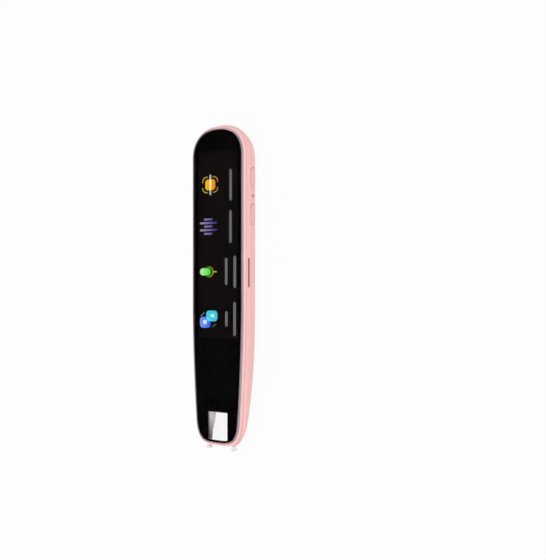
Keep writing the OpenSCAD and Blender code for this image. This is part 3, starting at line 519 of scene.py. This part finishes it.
rim = [(0.9, 12.18), (0.82, 12.26)] + arc_points(0.8, 12.45, 0.9, 0.45, 9)
rim += [(1.7, 12.65), (2.95, 12.65), (2.95, 11.95), (2.9, 11.9)]
rim += [(2.9, 11.3), (2.4, 11.3), (2.4, 12.18)]
screen_frame = sweep_round("screen_frame_moulding", rim, 30, 80, pale_abs)
change_by("DIFFERENCE", screen_frame, round_block("legs", (-20, -80, 10), (20, notch_y, 12.18)))
card_room = side_bar("card_room", 12.0, 13.4, slot_y, slot_z, 7.05, 0.9, 6)
change_by("DIFFERENCE", screen_frame, card_room)
smooth(screen_frame)
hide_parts("front_frame")
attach(screen_frame, "casing")

# ---- Cover ----
# A clear acrylic cap over the whole front, diamond-milled to a polished face and a finely
# ground side. The side's grey-violet colour is a painted reflection, seen as a thin band
# round the cover. It is glued to the frame's ledge.

# Its anti-reflection coat is why its faces mirror far less than bare acrylic, IOR 1.49.
clear_cap, shader, place = new_finish("coated_clear_acrylic")
shader.inputs["Base Color"].default_value = linear("#f9f8f8")
shader.inputs["Transmission Weight"].default_value = 1.0
shader.inputs["IOR"].default_value = 1.05
shader.inputs["Specular IOR Level"].default_value = 0.12
# A wiped film of finger grease, in patches of about 7 mm, dulls the polish a little.
film = spread(clear_cap, speckle(clear_cap, place, 140.0, 3.0), 0.0, 0.012)
feed(clear_cap, film, shader.inputs["Roughness"])
rays = add_node(clear_cap, "ShaderNodeLightPath")
open_way = add_node(clear_cap, "ShaderNodeBsdfTransparent", {"Color": (1, 1, 1, 1)})
lit = add_node(
    clear_cap, "ShaderNodeMixShader", (),
    {0: rays.outputs["Is Shadow Ray"], 1: shader.outputs[0], 2: open_way.outputs[0]},
)
feed(clear_cap, lit.outputs[0], clear_cap.node_tree.nodes["Material Output"].inputs["Surface"])

ground_edge_painted_reflection, shader, place = new_finish("ground_acrylic_edge_painted_reflection")
shader.inputs["Roughness"].default_value = 0.55
# Grinding marks about 1 mm apart
streaks = speckle(ground_edge_painted_reflection, place, 900.0, 2.0)
# Painted reflection: the grey-violet stands for the light the edge mirrors. The streaks are its
# grinding marks.
tone = two_tones(ground_edge_painted_reflection, streaks, "#a89fa6", "#b0a6ad")
feed(ground_edge_painted_reflection, tone, shader.inputs["Base Color"])

inside_z = 13.85  # the underside of the cap's face
cap_side = [(1.8, 12.8), (1.82, 13.82), (1.86, 14.0)] + arc_points(1.9, 14.1, 0.3, 0.3, 15)
top_ring = len(cap_side) - 1
cap_side += [(2.25, inside_z), (2.25, 12.8)]
points = [(x, y, z) for inset, z in cap_side for x, y in plan(inset, 30, 80)]
size = len(points) // len(cap_side)
faces = [
    tuple(top_ring * size + i for i in range(size)),
    tuple((top_ring + 1) * size + i for i in range(size)),
]
pairs = [(r, r + 1) for r in range(top_ring)] + [(top_ring + 1, top_ring + 2), (top_ring + 2, 0)]
cover = new_piece("clear_cover_cap", points, faces + ring_faces(size, pairs), clear_cap)
cover.data.materials.append(ground_edge_painted_reflection)
for face in cover.data.polygons:
    if abs(face.normal.z) < 0.75 and face.center.z < inside_z * mm:
        face.material_index = 1
smooth(cover)
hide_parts("cover_glass")
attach(cover, "casing")

# ---- Bezel ----
# Gloss-black polycarbonate behind the cover. It hides the parts beside the screen and
# leaves two openings: one over the screen, one over the scan notch.

black_gloss, shader, place = new_finish("gloss_black_polycarbonate")
shader.inputs["Specular IOR Level"].default_value = 0.01
# The moulding flows in broad waves of about 12 mm, seen as a faint change of gloss.
wave = speckle(black_gloss, place, 80.0, 1.0)
feed(black_gloss, spread(black_gloss, wave, 0.12, 0.2), shader.inputs["Roughness"])
ink = two_tones(black_gloss, wave, "#000001", "#030203")
feed(black_gloss, ink, shader.inputs["Base Color"])


def plan_slab(name, inset, low, high, ends, sides, finish=None):
    """A flat slab of the casing's outline, between two heights."""
    outline = plan(inset, ends, sides)
    size = len(outline)
    points = [(x, y, z) for z in (low, high) for x, y in outline]
    faces = [tuple(range(size)), tuple(size + i for i in range(size))]
    return new_piece(name, points, faces + ring_faces(size, [(0, 1)]), finish)


bezel = plan_slab("black_bezel", 2.35, 12.7, 13.8, 30, 80, black_gloss)
lit_half, lit_low_y, lit_high_y = 11.43, -22.9, 61.3
lit_area = (-lit_half, lit_low_y, 12), (lit_half, lit_high_y, 14)
change_by("DIFFERENCE", bezel, round_block("lit_area", *lit_area, 2, 2.0, 8))
scan_window = plan_slab("scan_window", 3.0, 12, 14, 30, 80)
change_by("INTERSECT", scan_window, round_block("sides", (-5.65, -75, 11), (5.65, -56.1, 15)))
change_by("DIFFERENCE", bezel, scan_window)
soften(bezel, 0.06, 1)
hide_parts("black_print")
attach(bezel, "casing")

# ---- Screen ----
# A sealed display module: a black glass front over a thin folded steel tray. It is lit with
# four plain signs, each beside bars that stand where a label would.

screen_glass, shader, place = new_finish("lit_black_display_glass")
shader.inputs["Roughness"].default_value = 0.06
shader.inputs["Specular IOR Level"].default_value = 0.01
shader.inputs["Base Color"].default_value = linear("#030202")
# The backlight is a little uneven over patches of about 25 mm.
glow = two_tones(screen_glass, speckle(screen_glass, place, 40.0, 1.0), "#070405", "#0a0607")
feed(screen_glass, glow, shader.inputs["Emission Color"])
shader.inputs["Emission Strength"].default_value = 1.0

border, face_z = 0.7, 12.65
low = -lit_half - border, lit_low_y - border, 11.25
high = lit_half + border, lit_high_y + border, face_z
display = round_block("display_module", low, high, 2, 2.5, 10, screen_glass)
soften(display, 0.12, 2)
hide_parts("display_panel")
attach(display, "casing")


def share_along(finish, place, axis, start, end):
    """Goes from 0 to 1 along X or Y, between two places in mm."""
    along = add_node(finish, "ShaderNodeSeparateXYZ", (), {0: place}).outputs[axis]
    settings = {"From Min": start * mm, "From Max": end * mm}
    return add_node(finish, "ShaderNodeMapRange", settings, {"Value": along}).outputs[0]


def lit_colour(name, first, second, axis, low, high, strength=1.0):
    """Light through the screen's colour filter, from one colour to another along X or Y."""
    finish, shader, place = new_finish(name)
    shader.inputs["Roughness"].default_value = 0.3
    shader.inputs["Specular IOR Level"].default_value = 0.1
    shader.inputs["Base Color"].default_value = (0, 0, 0, 1)
    tone = two_tones(finish, share_along(finish, place, axis, low, high), first, second)
    feed(finish, tone, shader.inputs["Emission Color"])
    shader.inputs["Emission Strength"].default_value = strength
    return finish


def sign(name, low, high, radius, finish, layer=0):
    """A lit shape a hundredth of a millimetre thick on the screen's face."""
    z = face_z + 0.002 + 0.012 * layer
    return round_block(name, (*low, z), (*high, z + 0.01), 2, radius, 6, finish)


def on_screen(piece):
    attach(piece, "casing")


gold = lit_colour("lit_gold", "#fcc81a", "#f3951c", 0, -7.6, -1.6, 0.88)
brass = lit_colour("lit_brass", "#b9ad4e", "#b98f1e", 0, -9.3, 0, 0.85)
on_screen(sign("gold_square", (-7.5, 44.1), (-1.85, 48.95), 1.5, gold, 1))
corners = sign("gold_corners", (-9.2, 42.8), (-0.3, 50.3), 2.3, brass)
inside = (-8.72, 43.28, 12), (-0.78, 49.82, 13)
change_by("DIFFERENCE", corners, round_block("inside", *inside, 2, 1.82))
for low, high in (((-6.1, 40, 12), (-3.2, 53, 13)), ((-12, 45.3, 12), (3, 47.5, 13))):
    change_by("DIFFERENCE", corners, round_block("gap", low, high))
on_screen(corners)
pearl = lit_colour("lit_pearl", "#c2c2c4", "#d0d0ce", 1, 41.8, 51.1, 0.8)
straw = lit_colour("lit_straw", "#ffe98e", "#fff6b4", 1, 44.1, 48.9)
on_screen(sign("scan_bar", (-5.1, 41.8), (-4.1, 51.1), 0.3, pearl, 2))
on_screen(sign("scan_bar_middle", (-5.1, 44.1), (-4.1, 48.95), 0.05, straw, 3))

violet = lit_colour("lit_violet", "#c2b6d6", "#4f45a8", 0, -10.2, -2.6, 0.62)
for n, y in enumerate((30.86, 29.23, 27.64, 26.01, 24.34)):
    low, high = (-10.5, -0.85) if n % 2 else (-8.2, -3.3)
    on_screen(sign("sound_bar_%d" % (n + 1), (low, y - 0.46), (high, y + 0.46), 0.459, violet))

green = lit_colour("lit_green", "#b9efb4", "#46e015", 0, -10.5, -5.2)
moss = lit_colour("lit_moss", "#5f8f2e", "#b3bf2c", 0, -6.2, -2.6)
on_screen(sign("microphone_sign", (-10.5, 5.4), (-4.4, 8.72), 1.6, green, 1))
cradle = sign("microphone_cradle", (-9.5, 4.62), (-2.95, 9.5), 2.43, moss)
change_by("DIFFERENCE", cradle, round_block("inside", (-9.1, 5.02, 12), (-3.35, 9.1, 13), 2, 2.03))
change_by("DIFFERENCE", cradle, round_block("open_side", (-12, 0, 12), (-6.4, 12, 13)))
on_screen(cradle)
on_screen(sign("microphone_stem", (-3.2, 6.8), (-0.85, 7.3), 0.24, moss, 1))

blue = lit_colour("lit_blue", "#7d9bf2", "#2c62f0", 0, -10.6, -4.8)
cyan = lit_colour("lit_cyan", "#46cde6", "#3cc4e0", 0, -7.0, -0.6)
sky_blue = lit_colour("lit_sky_blue", "#59d6ff", "#5ce0ff", 0, -7.0, -4.5)
frost = lit_colour("lit_frost", "#e8f8ec", "#b8f4ee", 0, -9.0, -2.0)
slate = lit_colour("lit_slate", "#6f87a0", "#47508f", 0, -10.2, -1.2)
blue_plan = (-10.55, -18.4), (-4.55, -13.5)
cyan_low, cyan_high = (-6.95, -15.4), (-0.65, -10.55)
on_screen(sign("blue_square", *blue_plan, 1.6, blue))
on_screen(sign("cyan_square", cyan_low, cyan_high, 1.6, cyan, 1))
overlap = sign("squares_overlap", *blue_plan, 1.6, sky_blue, 2)
cyan_plan = round_block("cyan_plan", (*cyan_low, 12), (*cyan_high, 13), 2, 1.6)
change_by("INTERSECT", overlap, cyan_plan)
on_screen(overlap)
ring = sign("blue_square_ring", (-8.75, -16.75), (-6.55, -14.85), 0.94, frost, 3)
inside = (-7.95, -16.1, 12), (-7.35, -15.5, 13)
change_by("DIFFERENCE", ring, round_block("inside", *inside, 2, 0.29))
on_screen(ring)
arrow = sign("cyan_square_arrow", (-4.9, -13.75), (-2.5, -11.85), 0.2, frost, 3)
from_tail = Matrix.Translation((4.9 * mm, 0.1 * mm, 0))
to_place = Matrix.Translation((-4.9 * mm, -12.8 * mm, 0))
for turn in (1, -1):
    slice_off = round_block("slice", (-9, 0, 12), (3, 5, 13))
    mirrored = Matrix.Scale(turn, 4, (0, 1, 0)) @ from_tail
    slant = Matrix.Rotation(math.radians(22) * turn, 4, "Z")
    slice_off.data.transform(to_place @ slant @ mirrored)
    tidy_normals(slice_off)
    change_by("DIFFERENCE", arrow, slice_off)
on_screen(arrow)
slant = Matrix.Rotation(math.radians(37), 4, "Z")
for name, x, y, length in (("upper", -9.0, -12.3, 2.9), ("lower", -2.45, -17.25, 2.7)):
    stroke = sign("exchange_stroke_" + name, (-length / 2, -0.2), (length / 2, 0.2), 0.19, slate)
    stroke.data.transform(Matrix.Translation((x * mm, y * mm, 0)) @ slant)
    on_screen(stroke)

label_grey = lit_colour("lit_label_grey", "#6d6b6e", "#69676a", 1, -20, 50)
for n, (x, low, high) in enumerate((
    (6.7, 38.75, 52.85), (6.6, 19.8, 34.5), (4.25, 1.0, 13.2), (8.95, -0.3, 14.1),
    (4.35, -17.5, -10.75), (8.85, -21.7, -6.55),
)):
    on_screen(sign("label_bar_%d" % (n + 1), (x - 0.7, low), (x + 0.7, high), 0.69, label_grey))

# ---- Bracket behind the screen ----
# Stamped stainless sheet, screwed to the shell's posts: it stiffens the pen and carries the
# screen. Rolling leaves fine streaks along it.


def finish_node(finish, *names):
    """Gives CAD parts that stay as they are their finish."""
    for name in names:
        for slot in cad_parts[name].material_slots:
            slot.material = finish


def sheet_metal(name, colour, shade, roughness, streak):
    """Rolled or drawn metal with streaks along Y, at a spacing in mm across it."""
    finish, shader, place = new_finish(name)
    shader.inputs["Metallic"].default_value = 1.0
    run = add_node(finish, "ShaderNodeMapping", {"Scale": (1, 0.04, 1)}, {"Vector": place})
    lines = speckle(finish, run.outputs[0], 1 / (streak * mm), 4.0)
    feed(finish, two_tones(finish, lines, colour, shade), shader.inputs["Base Color"])
    gloss = spread(finish, lines, roughness - 0.08, roughness + 0.08)
    feed(finish, gloss, shader.inputs["Roughness"])
    bumps(finish, lines, 0.3, 0.01, shader)
    return finish


stainless = sheet_metal("rolled_stainless_steel", "#c4c6c8", "#b2b4b7", 0.34, 0.25)
finish_node(stainless, "display_bracket")

# ---- Flat cables ----
# Polyimide film over copper lines: amber, smooth, with the lines showing as darker stripes
# 0.5 mm apart. They run from the display and from the camera to the main board.

amber_film, shader, place = new_finish("amber_polyimide_film")
shader.inputs["Roughness"].default_value = 0.3
across = add_node(amber_film, "ShaderNodeSeparateXYZ", (), {0: place})
turns = reckon(amber_film, "MULTIPLY", across.outputs[0], math.tau / (0.5 * mm))
wave = reckon(amber_film, "SINE", turns)
lines = add_node(amber_film, "ShaderNodeMapRange", {"From Max": 0.4}, {"Value": wave})
copper = two_tones(amber_film, lines.outputs[0], "#c98a35", "#a5632a")
feed(amber_film, copper, shader.inputs["Base Color"])
finish_node(amber_film, "display_flex", "camera_flex")

# ---- Circuit boards ----
# Glass-epoxy boards under a green solder mask: semi-gloss, with copper lines that show
# through as a lighter pattern about 0.8 mm apart.

green_mask, shader, place = new_finish("green_solder_mask")
shader.inputs["Roughness"].default_value = 0.35
cells = add_node(
    green_mask, "ShaderNodeTexBrick",
    {"Scale": 1 / (0.8 * mm), "Mortar Size": 0.03, "Color1": linear("#1d6b3f"),
     "Color2": linear("#22744a"), "Mortar": linear("#3d9463")},
    {"Vector": place},
)
feed(green_mask, cells.outputs["Color"], shader.inputs["Base Color"])
finish_node(green_mask, "main_board", "key_board", "light_board")

# ---- Chips, connectors and switches on the boards ----
# Chips are black epoxy, ground matt; connectors are ivory nylon; switch cases and the shield
# can are bright tin plate; the switch plungers and the trigger's switch are dark acetal.

black_epoxy = moulded_plastic("matt_black_epoxy", "#1b1c1f", "#222327", 0.55, 0.2, 0.004)
finish_node(black_epoxy, "board_chips")
ivory_nylon = moulded_plastic("ivory_nylon", "#e9e1cf", "#ded5c1", 0.45, 0.3, 0.004)
finish_node(ivory_nylon, "board_connectors")
tin_plate = sheet_metal("bright_tin_plate", "#cfd0cf", "#bfc0c0", 0.3, 0.4)
finish_node(tin_plate, "key_switches", "shield_can")
dark_acetal = moulded_plastic("dark_acetal", "#35363a", "#3d3e43", 0.38, 0.4, 0.003)
finish_node(dark_acetal, "power_plunger", "mode_plunger", "trigger_switch", "trigger_plunger")

# ---- Screws ----
# Nickel-plated steel screws with cross recesses that clamp the bracket and the board.

nickel = sheet_metal("nickel_plated_steel", "#d6d4cf", "#c6c3bd", 0.25, 0.3)
finish_node(nickel, "case_screws")

# ---- Battery ----
# A lithium pouch cell in embossed aluminium laminate, held by white foam tape, with two
# nickel tabs. The laminate creases softly in patches of about 6 mm.

pouch, shader, place = new_finish("aluminium_laminate_pouch")
shader.inputs["Metallic"].default_value = 0.85
shader.inputs["Base Color"].default_value = linear("#b9bdc1")
creases = speckle(pouch, place, 160.0, 4.0)
feed(pouch, spread(pouch, creases, 0.3, 0.5), shader.inputs["Roughness"])
bumps(pouch, creases, 0.6, 0.2, shader)
finish_node(pouch, "battery")
finish_node(nickel, "battery_leads")
foam_tape = moulded_plastic("white_foam_tape", "#ecebe6", "#e2e0d8", 0.8, 0.25, 0.03)
finish_node(foam_tape, "battery_tape")

# ---- Speaker cover ----
# A raised oblong plate of the shell's ABS with a pressed grille: three groups of three
# slots, turned a third of a circle from each other. Heat stakes hold it in its seat.

pad_abs = moulded_plastic("satin_pink_abs_cover", "#f6c2c0", "#f3bcba", 0.46, 0.6, 0.004)
pad_edge = [(0.35, 0.0), (0.17, 0.04), (0.05, 0.15), (0.0, 0.35), (0.0, 1.0)]
size = 96
points = []
for inset, z in pad_edge:
    for i in range(size):
        a = math.tau * (i + 0.5) / size
        end = pad_y + math.copysign(pad_half_long - pad_half_wide, math.sin(a))
        out = pad_half_wide - inset
        points.append((out * math.cos(a), end + out * math.sin(a), z))
last = len(pad_edge) - 1
faces = [tuple(range(size)), tuple(last * size + i for i in range(size))]
faces += ring_faces(size, [(r, r + 1) for r in range(last)])
pad = new_piece("speaker_cover_plate", points, faces, pad_abs)
pitch, slot_long, slot_wide = 2.1, 6.6, 1.0
step = pitch / math.sin(math.radians(60))
for group in range(3):
    for n in range(3):
        x = (slot_long + 1.1 - (n + 0.55) * step) / 2
        y = -(n + 0.55) * pitch
        low = x - slot_long / 2, y - slot_wide / 2, -1
        high = x + slot_long / 2, y + slot_wide / 2, 2
        slot = round_block("slot", low, high, 2, slot_wide / 2 - 0.001, 8)
        turn = Matrix.Rotation(math.radians(120 * group), 4, "Z")
        slot.data.transform(Matrix.Translation((0, grille_y * mm, 0)) @ turn)
        change_by("DIFFERENCE", pad, slot)
smooth(pad, 35)
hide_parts("speaker_cover")
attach(pad, "casing")

# ---- Dust mesh ----
# Woven polyester cloth bonded behind the slots, dyed deep rose: real threads cross 0.15 mm
# apart, drawn here 0.6 mm apart so that the weave shows, on a thin backing.

rose_cloth, shader, place = new_finish("rose_woven_polyester")
shader.inputs["Roughness"].default_value = 0.7
shader.inputs["Sheen Weight"].default_value = 0.3
fibres = speckle(rose_cloth, place, 1 / (0.2 * mm), 2.0)
dye = two_tones(rose_cloth, fibres, "#eaa29c", "#dc928d")
feed(rose_cloth, dye, shader.inputs["Base Color"])


def add_tube(faces, start, count, around):
    """The faces of a tube through rings of points, the first at a given number, with both
    ends closed."""
    for i in range(count):
        for k in range(around):
            a, b = start + around * i + k, start + around * i + (k + 1) % around
            faces.append((a, b, b + around, a + around))
    faces += [tuple(start + around * i + k for k in range(around)) for i in (0, count)]


def join(piece, others):
    """Makes one piece of several."""
    select_only(piece)
    for other in others:
        other.select_set(True)
    bpy.ops.object.join()


mesh_radius, mesh_z, thread_gap, thread = 6.6, 1.145, 0.6, 0.09
wave_high, around = 0.05, 6
points, faces = [], []
for axis in (0, 1):
    for k in range(-10, 11):
        off = k * thread_gap
        half = math.sqrt(mesh_radius**2 - off**2)
        count = max(4, int(2 * half / 0.3))
        start = len(points)
        for i in range(count + 1):
            t = -half + 2 * half * i / count
            rise = wave_high * math.cos(math.pi * t / thread_gap + math.pi * (k + axis))
            for side in range(around):
                a = math.tau * side / around
                across = off + thread * math.cos(a)
                up = mesh_z + rise * 0.6 + thread * 0.7 * math.sin(a)
                x, y = (t, across) if axis == 0 else (across, t)
                points.append((x, grille_y + y, up))
        add_tube(faces, start, count, around)
dust_mesh = new_piece("speaker_dust_mesh", points, faces, rose_cloth)
wide = mesh_radius + 0.1
low, high = (-wide, grille_y - wide, 1.19), (wide, grille_y + wide, 1.25)
join(dust_mesh, [round_block("backing", low, high, 2, wide - 0.001, 16, rose_cloth)])
smooth(dust_mesh, 50)
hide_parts("speaker_mesh")
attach(dust_mesh, "casing")

# ---- Speaker ----
# A small moving-coil speaker: a basket of glass-filled nylon and a pressed film cone.

filled_nylon = moulded_plastic("glass_filled_nylon", "#2b2c31", "#34353a", 0.5, 0.35, 0.01)
finish_node(filled_nylon, "speaker_basket")
cone_film = moulded_plastic("pressed_cone_film", "#4b4c52", "#55565c", 0.4, 0.5, 0.01)
finish_node(cone_film, "speaker_cone")

# ---- Side keys ----
# Two keys of the shell's ABS, cut to follow its side, with a flange inside the wall. Each
# presses a dome switch. The longer one has a short dash moulded into its face.


def side_key(name, node, body, y, half):
    """A key through the +X wall whose face lies just under the casing's skin."""
    inner_x, lip_thick, lip_wide = 13.02, 0.6, 0.7
    key = side_bar(name, inner_x, 16.5, y, key_z, half, key_half, 12, pink_abs)
    change_by("INTERSECT", key, casing_body("skin", 0.08, seam_z, 12, 60, 14, 8, None))
    lip_x, lip_long, lip_high = inner_x + lip_thick, half + lip_wide, key_half + lip_wide
    change_by("UNION", key, side_bar("lip", inner_x, lip_x, y, key_z, lip_long, lip_high, 12))
    if node == "mode_button":
        change_by("DIFFERENCE", key, side_bar("dash", 15.24, 17, y, key_z, 1.45, 0.3, 6))
    soften(key, 0.14, 3)
    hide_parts(node)
    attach(key, body)


side_key("power_key_cap", "power_button", "power_key", power_y, power_half)
side_key("mode_key_cap", "mode_button", "mode_key", mode_y, mode_half)

# ---- Microphone boot ----
# A silicone tube between the pinhole and the microphone, matt and dark.

black_rubber = moulded_plastic("matt_black_silicone", "#26262a", "#2d2d31", 0.7, 0.4, 0.006)
finish_node(black_rubber, "mic_boot")

# ---- Memory card slot ----
# The folded brass cage of a small memory card's socket, nickel plated and soldered to the
# main board behind the slot. Its metal is coloured dark grey as painted shade for the inside
# of the slot and of the microphone hole. The microphone's case is of the same sheet.

# Painted shade: the dark grey stands for the shade inside the openings.
nickel_in_painted_shade = sheet_metal("nickel_over_brass_in_painted_shade", "#6d6865", "#5b5755", 0.5, 0.2)
finish_node(nickel_in_painted_shade, "card_socket", "microphone")

# ---- Charging port ----
# A drawn steel shell of the common small reversible port, with a black nylon tongue that
# carries gold-plated contacts on both faces.


def port_bar(name, half_wide, low_y, high_y, half_high, radius, steps, finish=None):
    """A bar on the port's middle line, with its edges along Y rounded."""
    low, high = (-half_wide, low_y, port_z - half_high), (half_wide, high_y, port_z + half_high)
    return round_block(name, low, high, 1, radius, steps, finish)


mouth_y, port_long, port_wall = 72.0, 7.3, 0.3
port_shell = port_bar(
    "charging_port_shell", port_half_wide, mouth_y - port_long, mouth_y, port_half_high,
    port_half_high - 0.001, 14, stainless,
)
wide, tall = port_half_wide - port_wall, port_half_high - port_wall
port_room = port_bar("room", wide, mouth_y - port_long + 0.5, mouth_y + 1, tall, tall - 0.001, 14)
change_by("DIFFERENCE", port_shell, port_room)
soften(port_shell, 0.08, 2)
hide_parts("usb_shell")
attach(port_shell, "casing")

root_y, end_y = [corner[1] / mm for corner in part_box("usb_tongue")]
black_nylon = moulded_plastic("black_port_nylon", "#1a1a1d", "#212124", 0.45, 0.3, 0.004)
thick_half = 0.35
low, high = (-3.35, root_y, port_z - thick_half), (3.35, end_y, port_z + thick_half)
tongue = round_block("charging_port_tongue", low, high, 2, 0.5, 4, black_nylon)
change_by("UNION", tongue, port_bar("root", 3.6, root_y, root_y + 1.4, 0.9, 0.3, 3))
soften(tongue, 0.08, 2)
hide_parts("usb_tongue")
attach(tongue, "casing")

gold_plate = sheet_metal("gold_plated_contacts", "#e3bf6a", "#d8b25a", 0.25, 0.1)
contact_pitch, contact_half = 0.5, 0.13
for face, face_name in ((-1, "back"), (1, "front")):
    contacts = []
    z = port_z + face * thick_half
    for n in range(12):
        # Every third one reaches 0.3 mm further back
        x = (n - 5.5) * contact_pitch
        low = x - contact_half, end_y - 3.6 - 0.3 * (n % 3 == 0), z - 0.02
        high = x + contact_half, end_y - 0.35, z + 0.02
        contacts.append(round_block("contact", low, high, 2, 0.06, 2, gold_plate))
    strip = contacts[0]
    join(strip, contacts[1:])
    strip.name = "port_contacts_" + face_name
    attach(strip, "casing")

# ---- Tip trigger ----
# One polycarbonate part, white with milky ends and painted shade that greys it towards the
# tip: two arms beside the notch, joined by a cross bar, with a round foot on each. Pressing
# the tip on the page slides it in against springs.

clear_polycarbonate_shaded, shader, place = new_finish("polycarbonate_in_painted_shade")
shader.inputs["Transmission Weight"].default_value = 0.1
shader.inputs["IOR"].default_value = 1.58
# Painted shade: the colour greys from white to dark towards the tip. Flow marks 3 mm long vary the
# gloss.
run = add_node(clear_polycarbonate_shaded, "ShaderNodeMapping", {"Scale": (1, 0.25, 1)}, {"Vector": place})
milk = speckle(clear_polycarbonate_shaded, run.outputs[0], 330.0, 2.0)
feed(clear_polycarbonate_shaded, spread(clear_polycarbonate_shaded, milk, 0.28, 0.42), shader.inputs["Roughness"])
# Painted shade: white at y -57 mm, dark grey by y -68 mm.
painted_shade_to_tip = share_along(clear_polycarbonate_shaded, place, 1, -57, -68)
tone = two_tones(clear_polycarbonate_shaded, painted_shade_to_tip, "#ffffff", "#595757")
# The last 3 mm, which glide on the page, are left milky.
glide = share_along(clear_polycarbonate_shaded, place, 1, -70.6, -71)
feed(clear_polycarbonate_shaded, two_tones(clear_polycarbonate_shaded, glide, tone, "#fbf8f7"), shader.inputs["Base Color"])

bar_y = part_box("trigger_slider")[1][1] / mm
arm_in, arm_out, foot_out = 5.6, 7.4, 8.0
arm_y, foot_y = -55.4, -72.55
bar_z, front_z = 9.2, 11.1
bar = (-arm_out, -52.9, bar_z), (arm_out, bar_y, front_z)
slider = round_block("tip_trigger", *bar, finish=clear_polycarbonate_shaded)
for side in (-1, 1):
    inner, outer = sorted((side * arm_in, side * arm_out))
    arm = round_block("arm", (inner, arm_y, 8.3), (outer, bar_y, front_z))
    pick(arm, "FACE", lambda face: face.normal.y < -0.9)
    # Its last 17 mm narrow towards the foot, from 1.8 by 2.8 mm to 1.0 by 1.9 mm
    end = foot_y - 0.3
    bpy.ops.mesh.extrude_region_move(TRANSFORM_OT_translate={"value": (0, (end - arm_y) * mm, 0)})
    corner = side * arm_out * mm, end * mm, front_z * mm
    bpy.ops.transform.resize(value=(1.0 / 1.8, 1, 1.9 / 2.8), center_override=corner)
    bpy.ops.object.mode_set(mode="OBJECT")
    change_by("UNION", slider, arm)
    inner, outer = sorted((side * arm_in, side * foot_out))
    foot = round_block("foot", (inner, -73.6, bar_z), (outer, -71.2, front_z), 2, 1.199, 16)
    change_by("DIFFERENCE", foot, round_block("above", (-10, foot_y, 7), (10, -60, 12)))
    change_by("UNION", slider, foot)
soften(slider, 0.16, 3)
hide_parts("trigger_slider")
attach(slider, "tip_trigger")

# ---- Trigger springs ----
# Two coils of 0.25 mm music wire with closed ends, between the cross bar and the holder's
# wall. In the pen they shorten as the bar comes in; here they are drawn at one length.

music_wire = sheet_metal("music_wire", "#b7b9bb", "#a9abae", 0.3, 0.05)
spring_low, spring_high = [[c / mm for c in corner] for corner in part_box("trigger_springs")]
spring_long = spring_high[1] - spring_low[1]
spring_z = (spring_low[2] + spring_high[2]) / 2
wire, coil_radius, coil_turns, coil_steps, wire_sides = 0.125, 0.975, 4, 96, 8
points, faces = [], []
for side in (-1, 1):
    start = len(points)
    for i in range(coil_steps + 1):
        t = i / coil_steps
        turned = math.tau * coil_turns * t
        climb = t - 0.6 * math.sin(math.tau * t) / math.tau
        y = spring_low[1] + wire + (spring_long - 2 * wire) * climb
        for k in range(wire_sides):
            a = math.tau * k / wire_sides
            out = coil_radius + wire * math.cos(a)
            x = side * (spring_high[0] - coil_radius - wire) + out * math.cos(turned)
            points.append((x, y + wire * math.sin(a), spring_z + out * math.sin(turned)))
    add_tube(faces, start, coil_steps, wire_sides)
springs = new_piece("return_spring_coils", points, faces, music_wire)
smooth(springs, 50)
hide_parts("trigger_springs")
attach(springs, "casing")
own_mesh(springs)

# ---- Scan pane ----
# A small pane of hardened glass in the wall above the notch, that the camera looks through.

pane_glass, shader, place = new_finish("hardened_optical_glass")
shader.inputs["Transmission Weight"].default_value = 1.0
shader.inputs["IOR"].default_value = 1.52
shader.inputs["Base Color"].default_value = linear("#f4f6f8")
haze = spread(pane_glass, speckle(pane_glass, place, 500.0, 2.0), 0.0, 0.05)
feed(pane_glass, haze, shader.inputs["Roughness"])
pane_low, pane_high = [[c / mm for c in corner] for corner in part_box("scan_pane")]
pane = round_block("scan_pane_glass", pane_low, pane_high, 1, 0.7, 6, pane_glass)
soften(pane, 0.1, 2)
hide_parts("scan_pane")
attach(pane, "casing")

# ---- Camera and lamps ----
# The scan camera with its lens barrel in a matt black holder, and four white lamps on a
# small board beside it that light the line of print.

finish_node(filled_nylon, "optics_holder")
finish_node(black_epoxy, "scan_camera")
barrel = moulded_plastic("matt_black_anodised_barrel", "#151619", "#1b1c20", 0.5, 0.2, 0.003)
finish_node(barrel, "camera_lens")
phosphor, shader, place = new_finish("yellow_phosphor_silicone")
shader.inputs["Roughness"].default_value = 0.4
grain = speckle(phosphor, place, 1 / (0.3 * mm), 2.0)
feed(phosphor, two_tones(phosphor, grain, "#f4e9a8", "#e9d983"), shader.inputs["Base Color"])
finish_node(phosphor, "scan_lights")
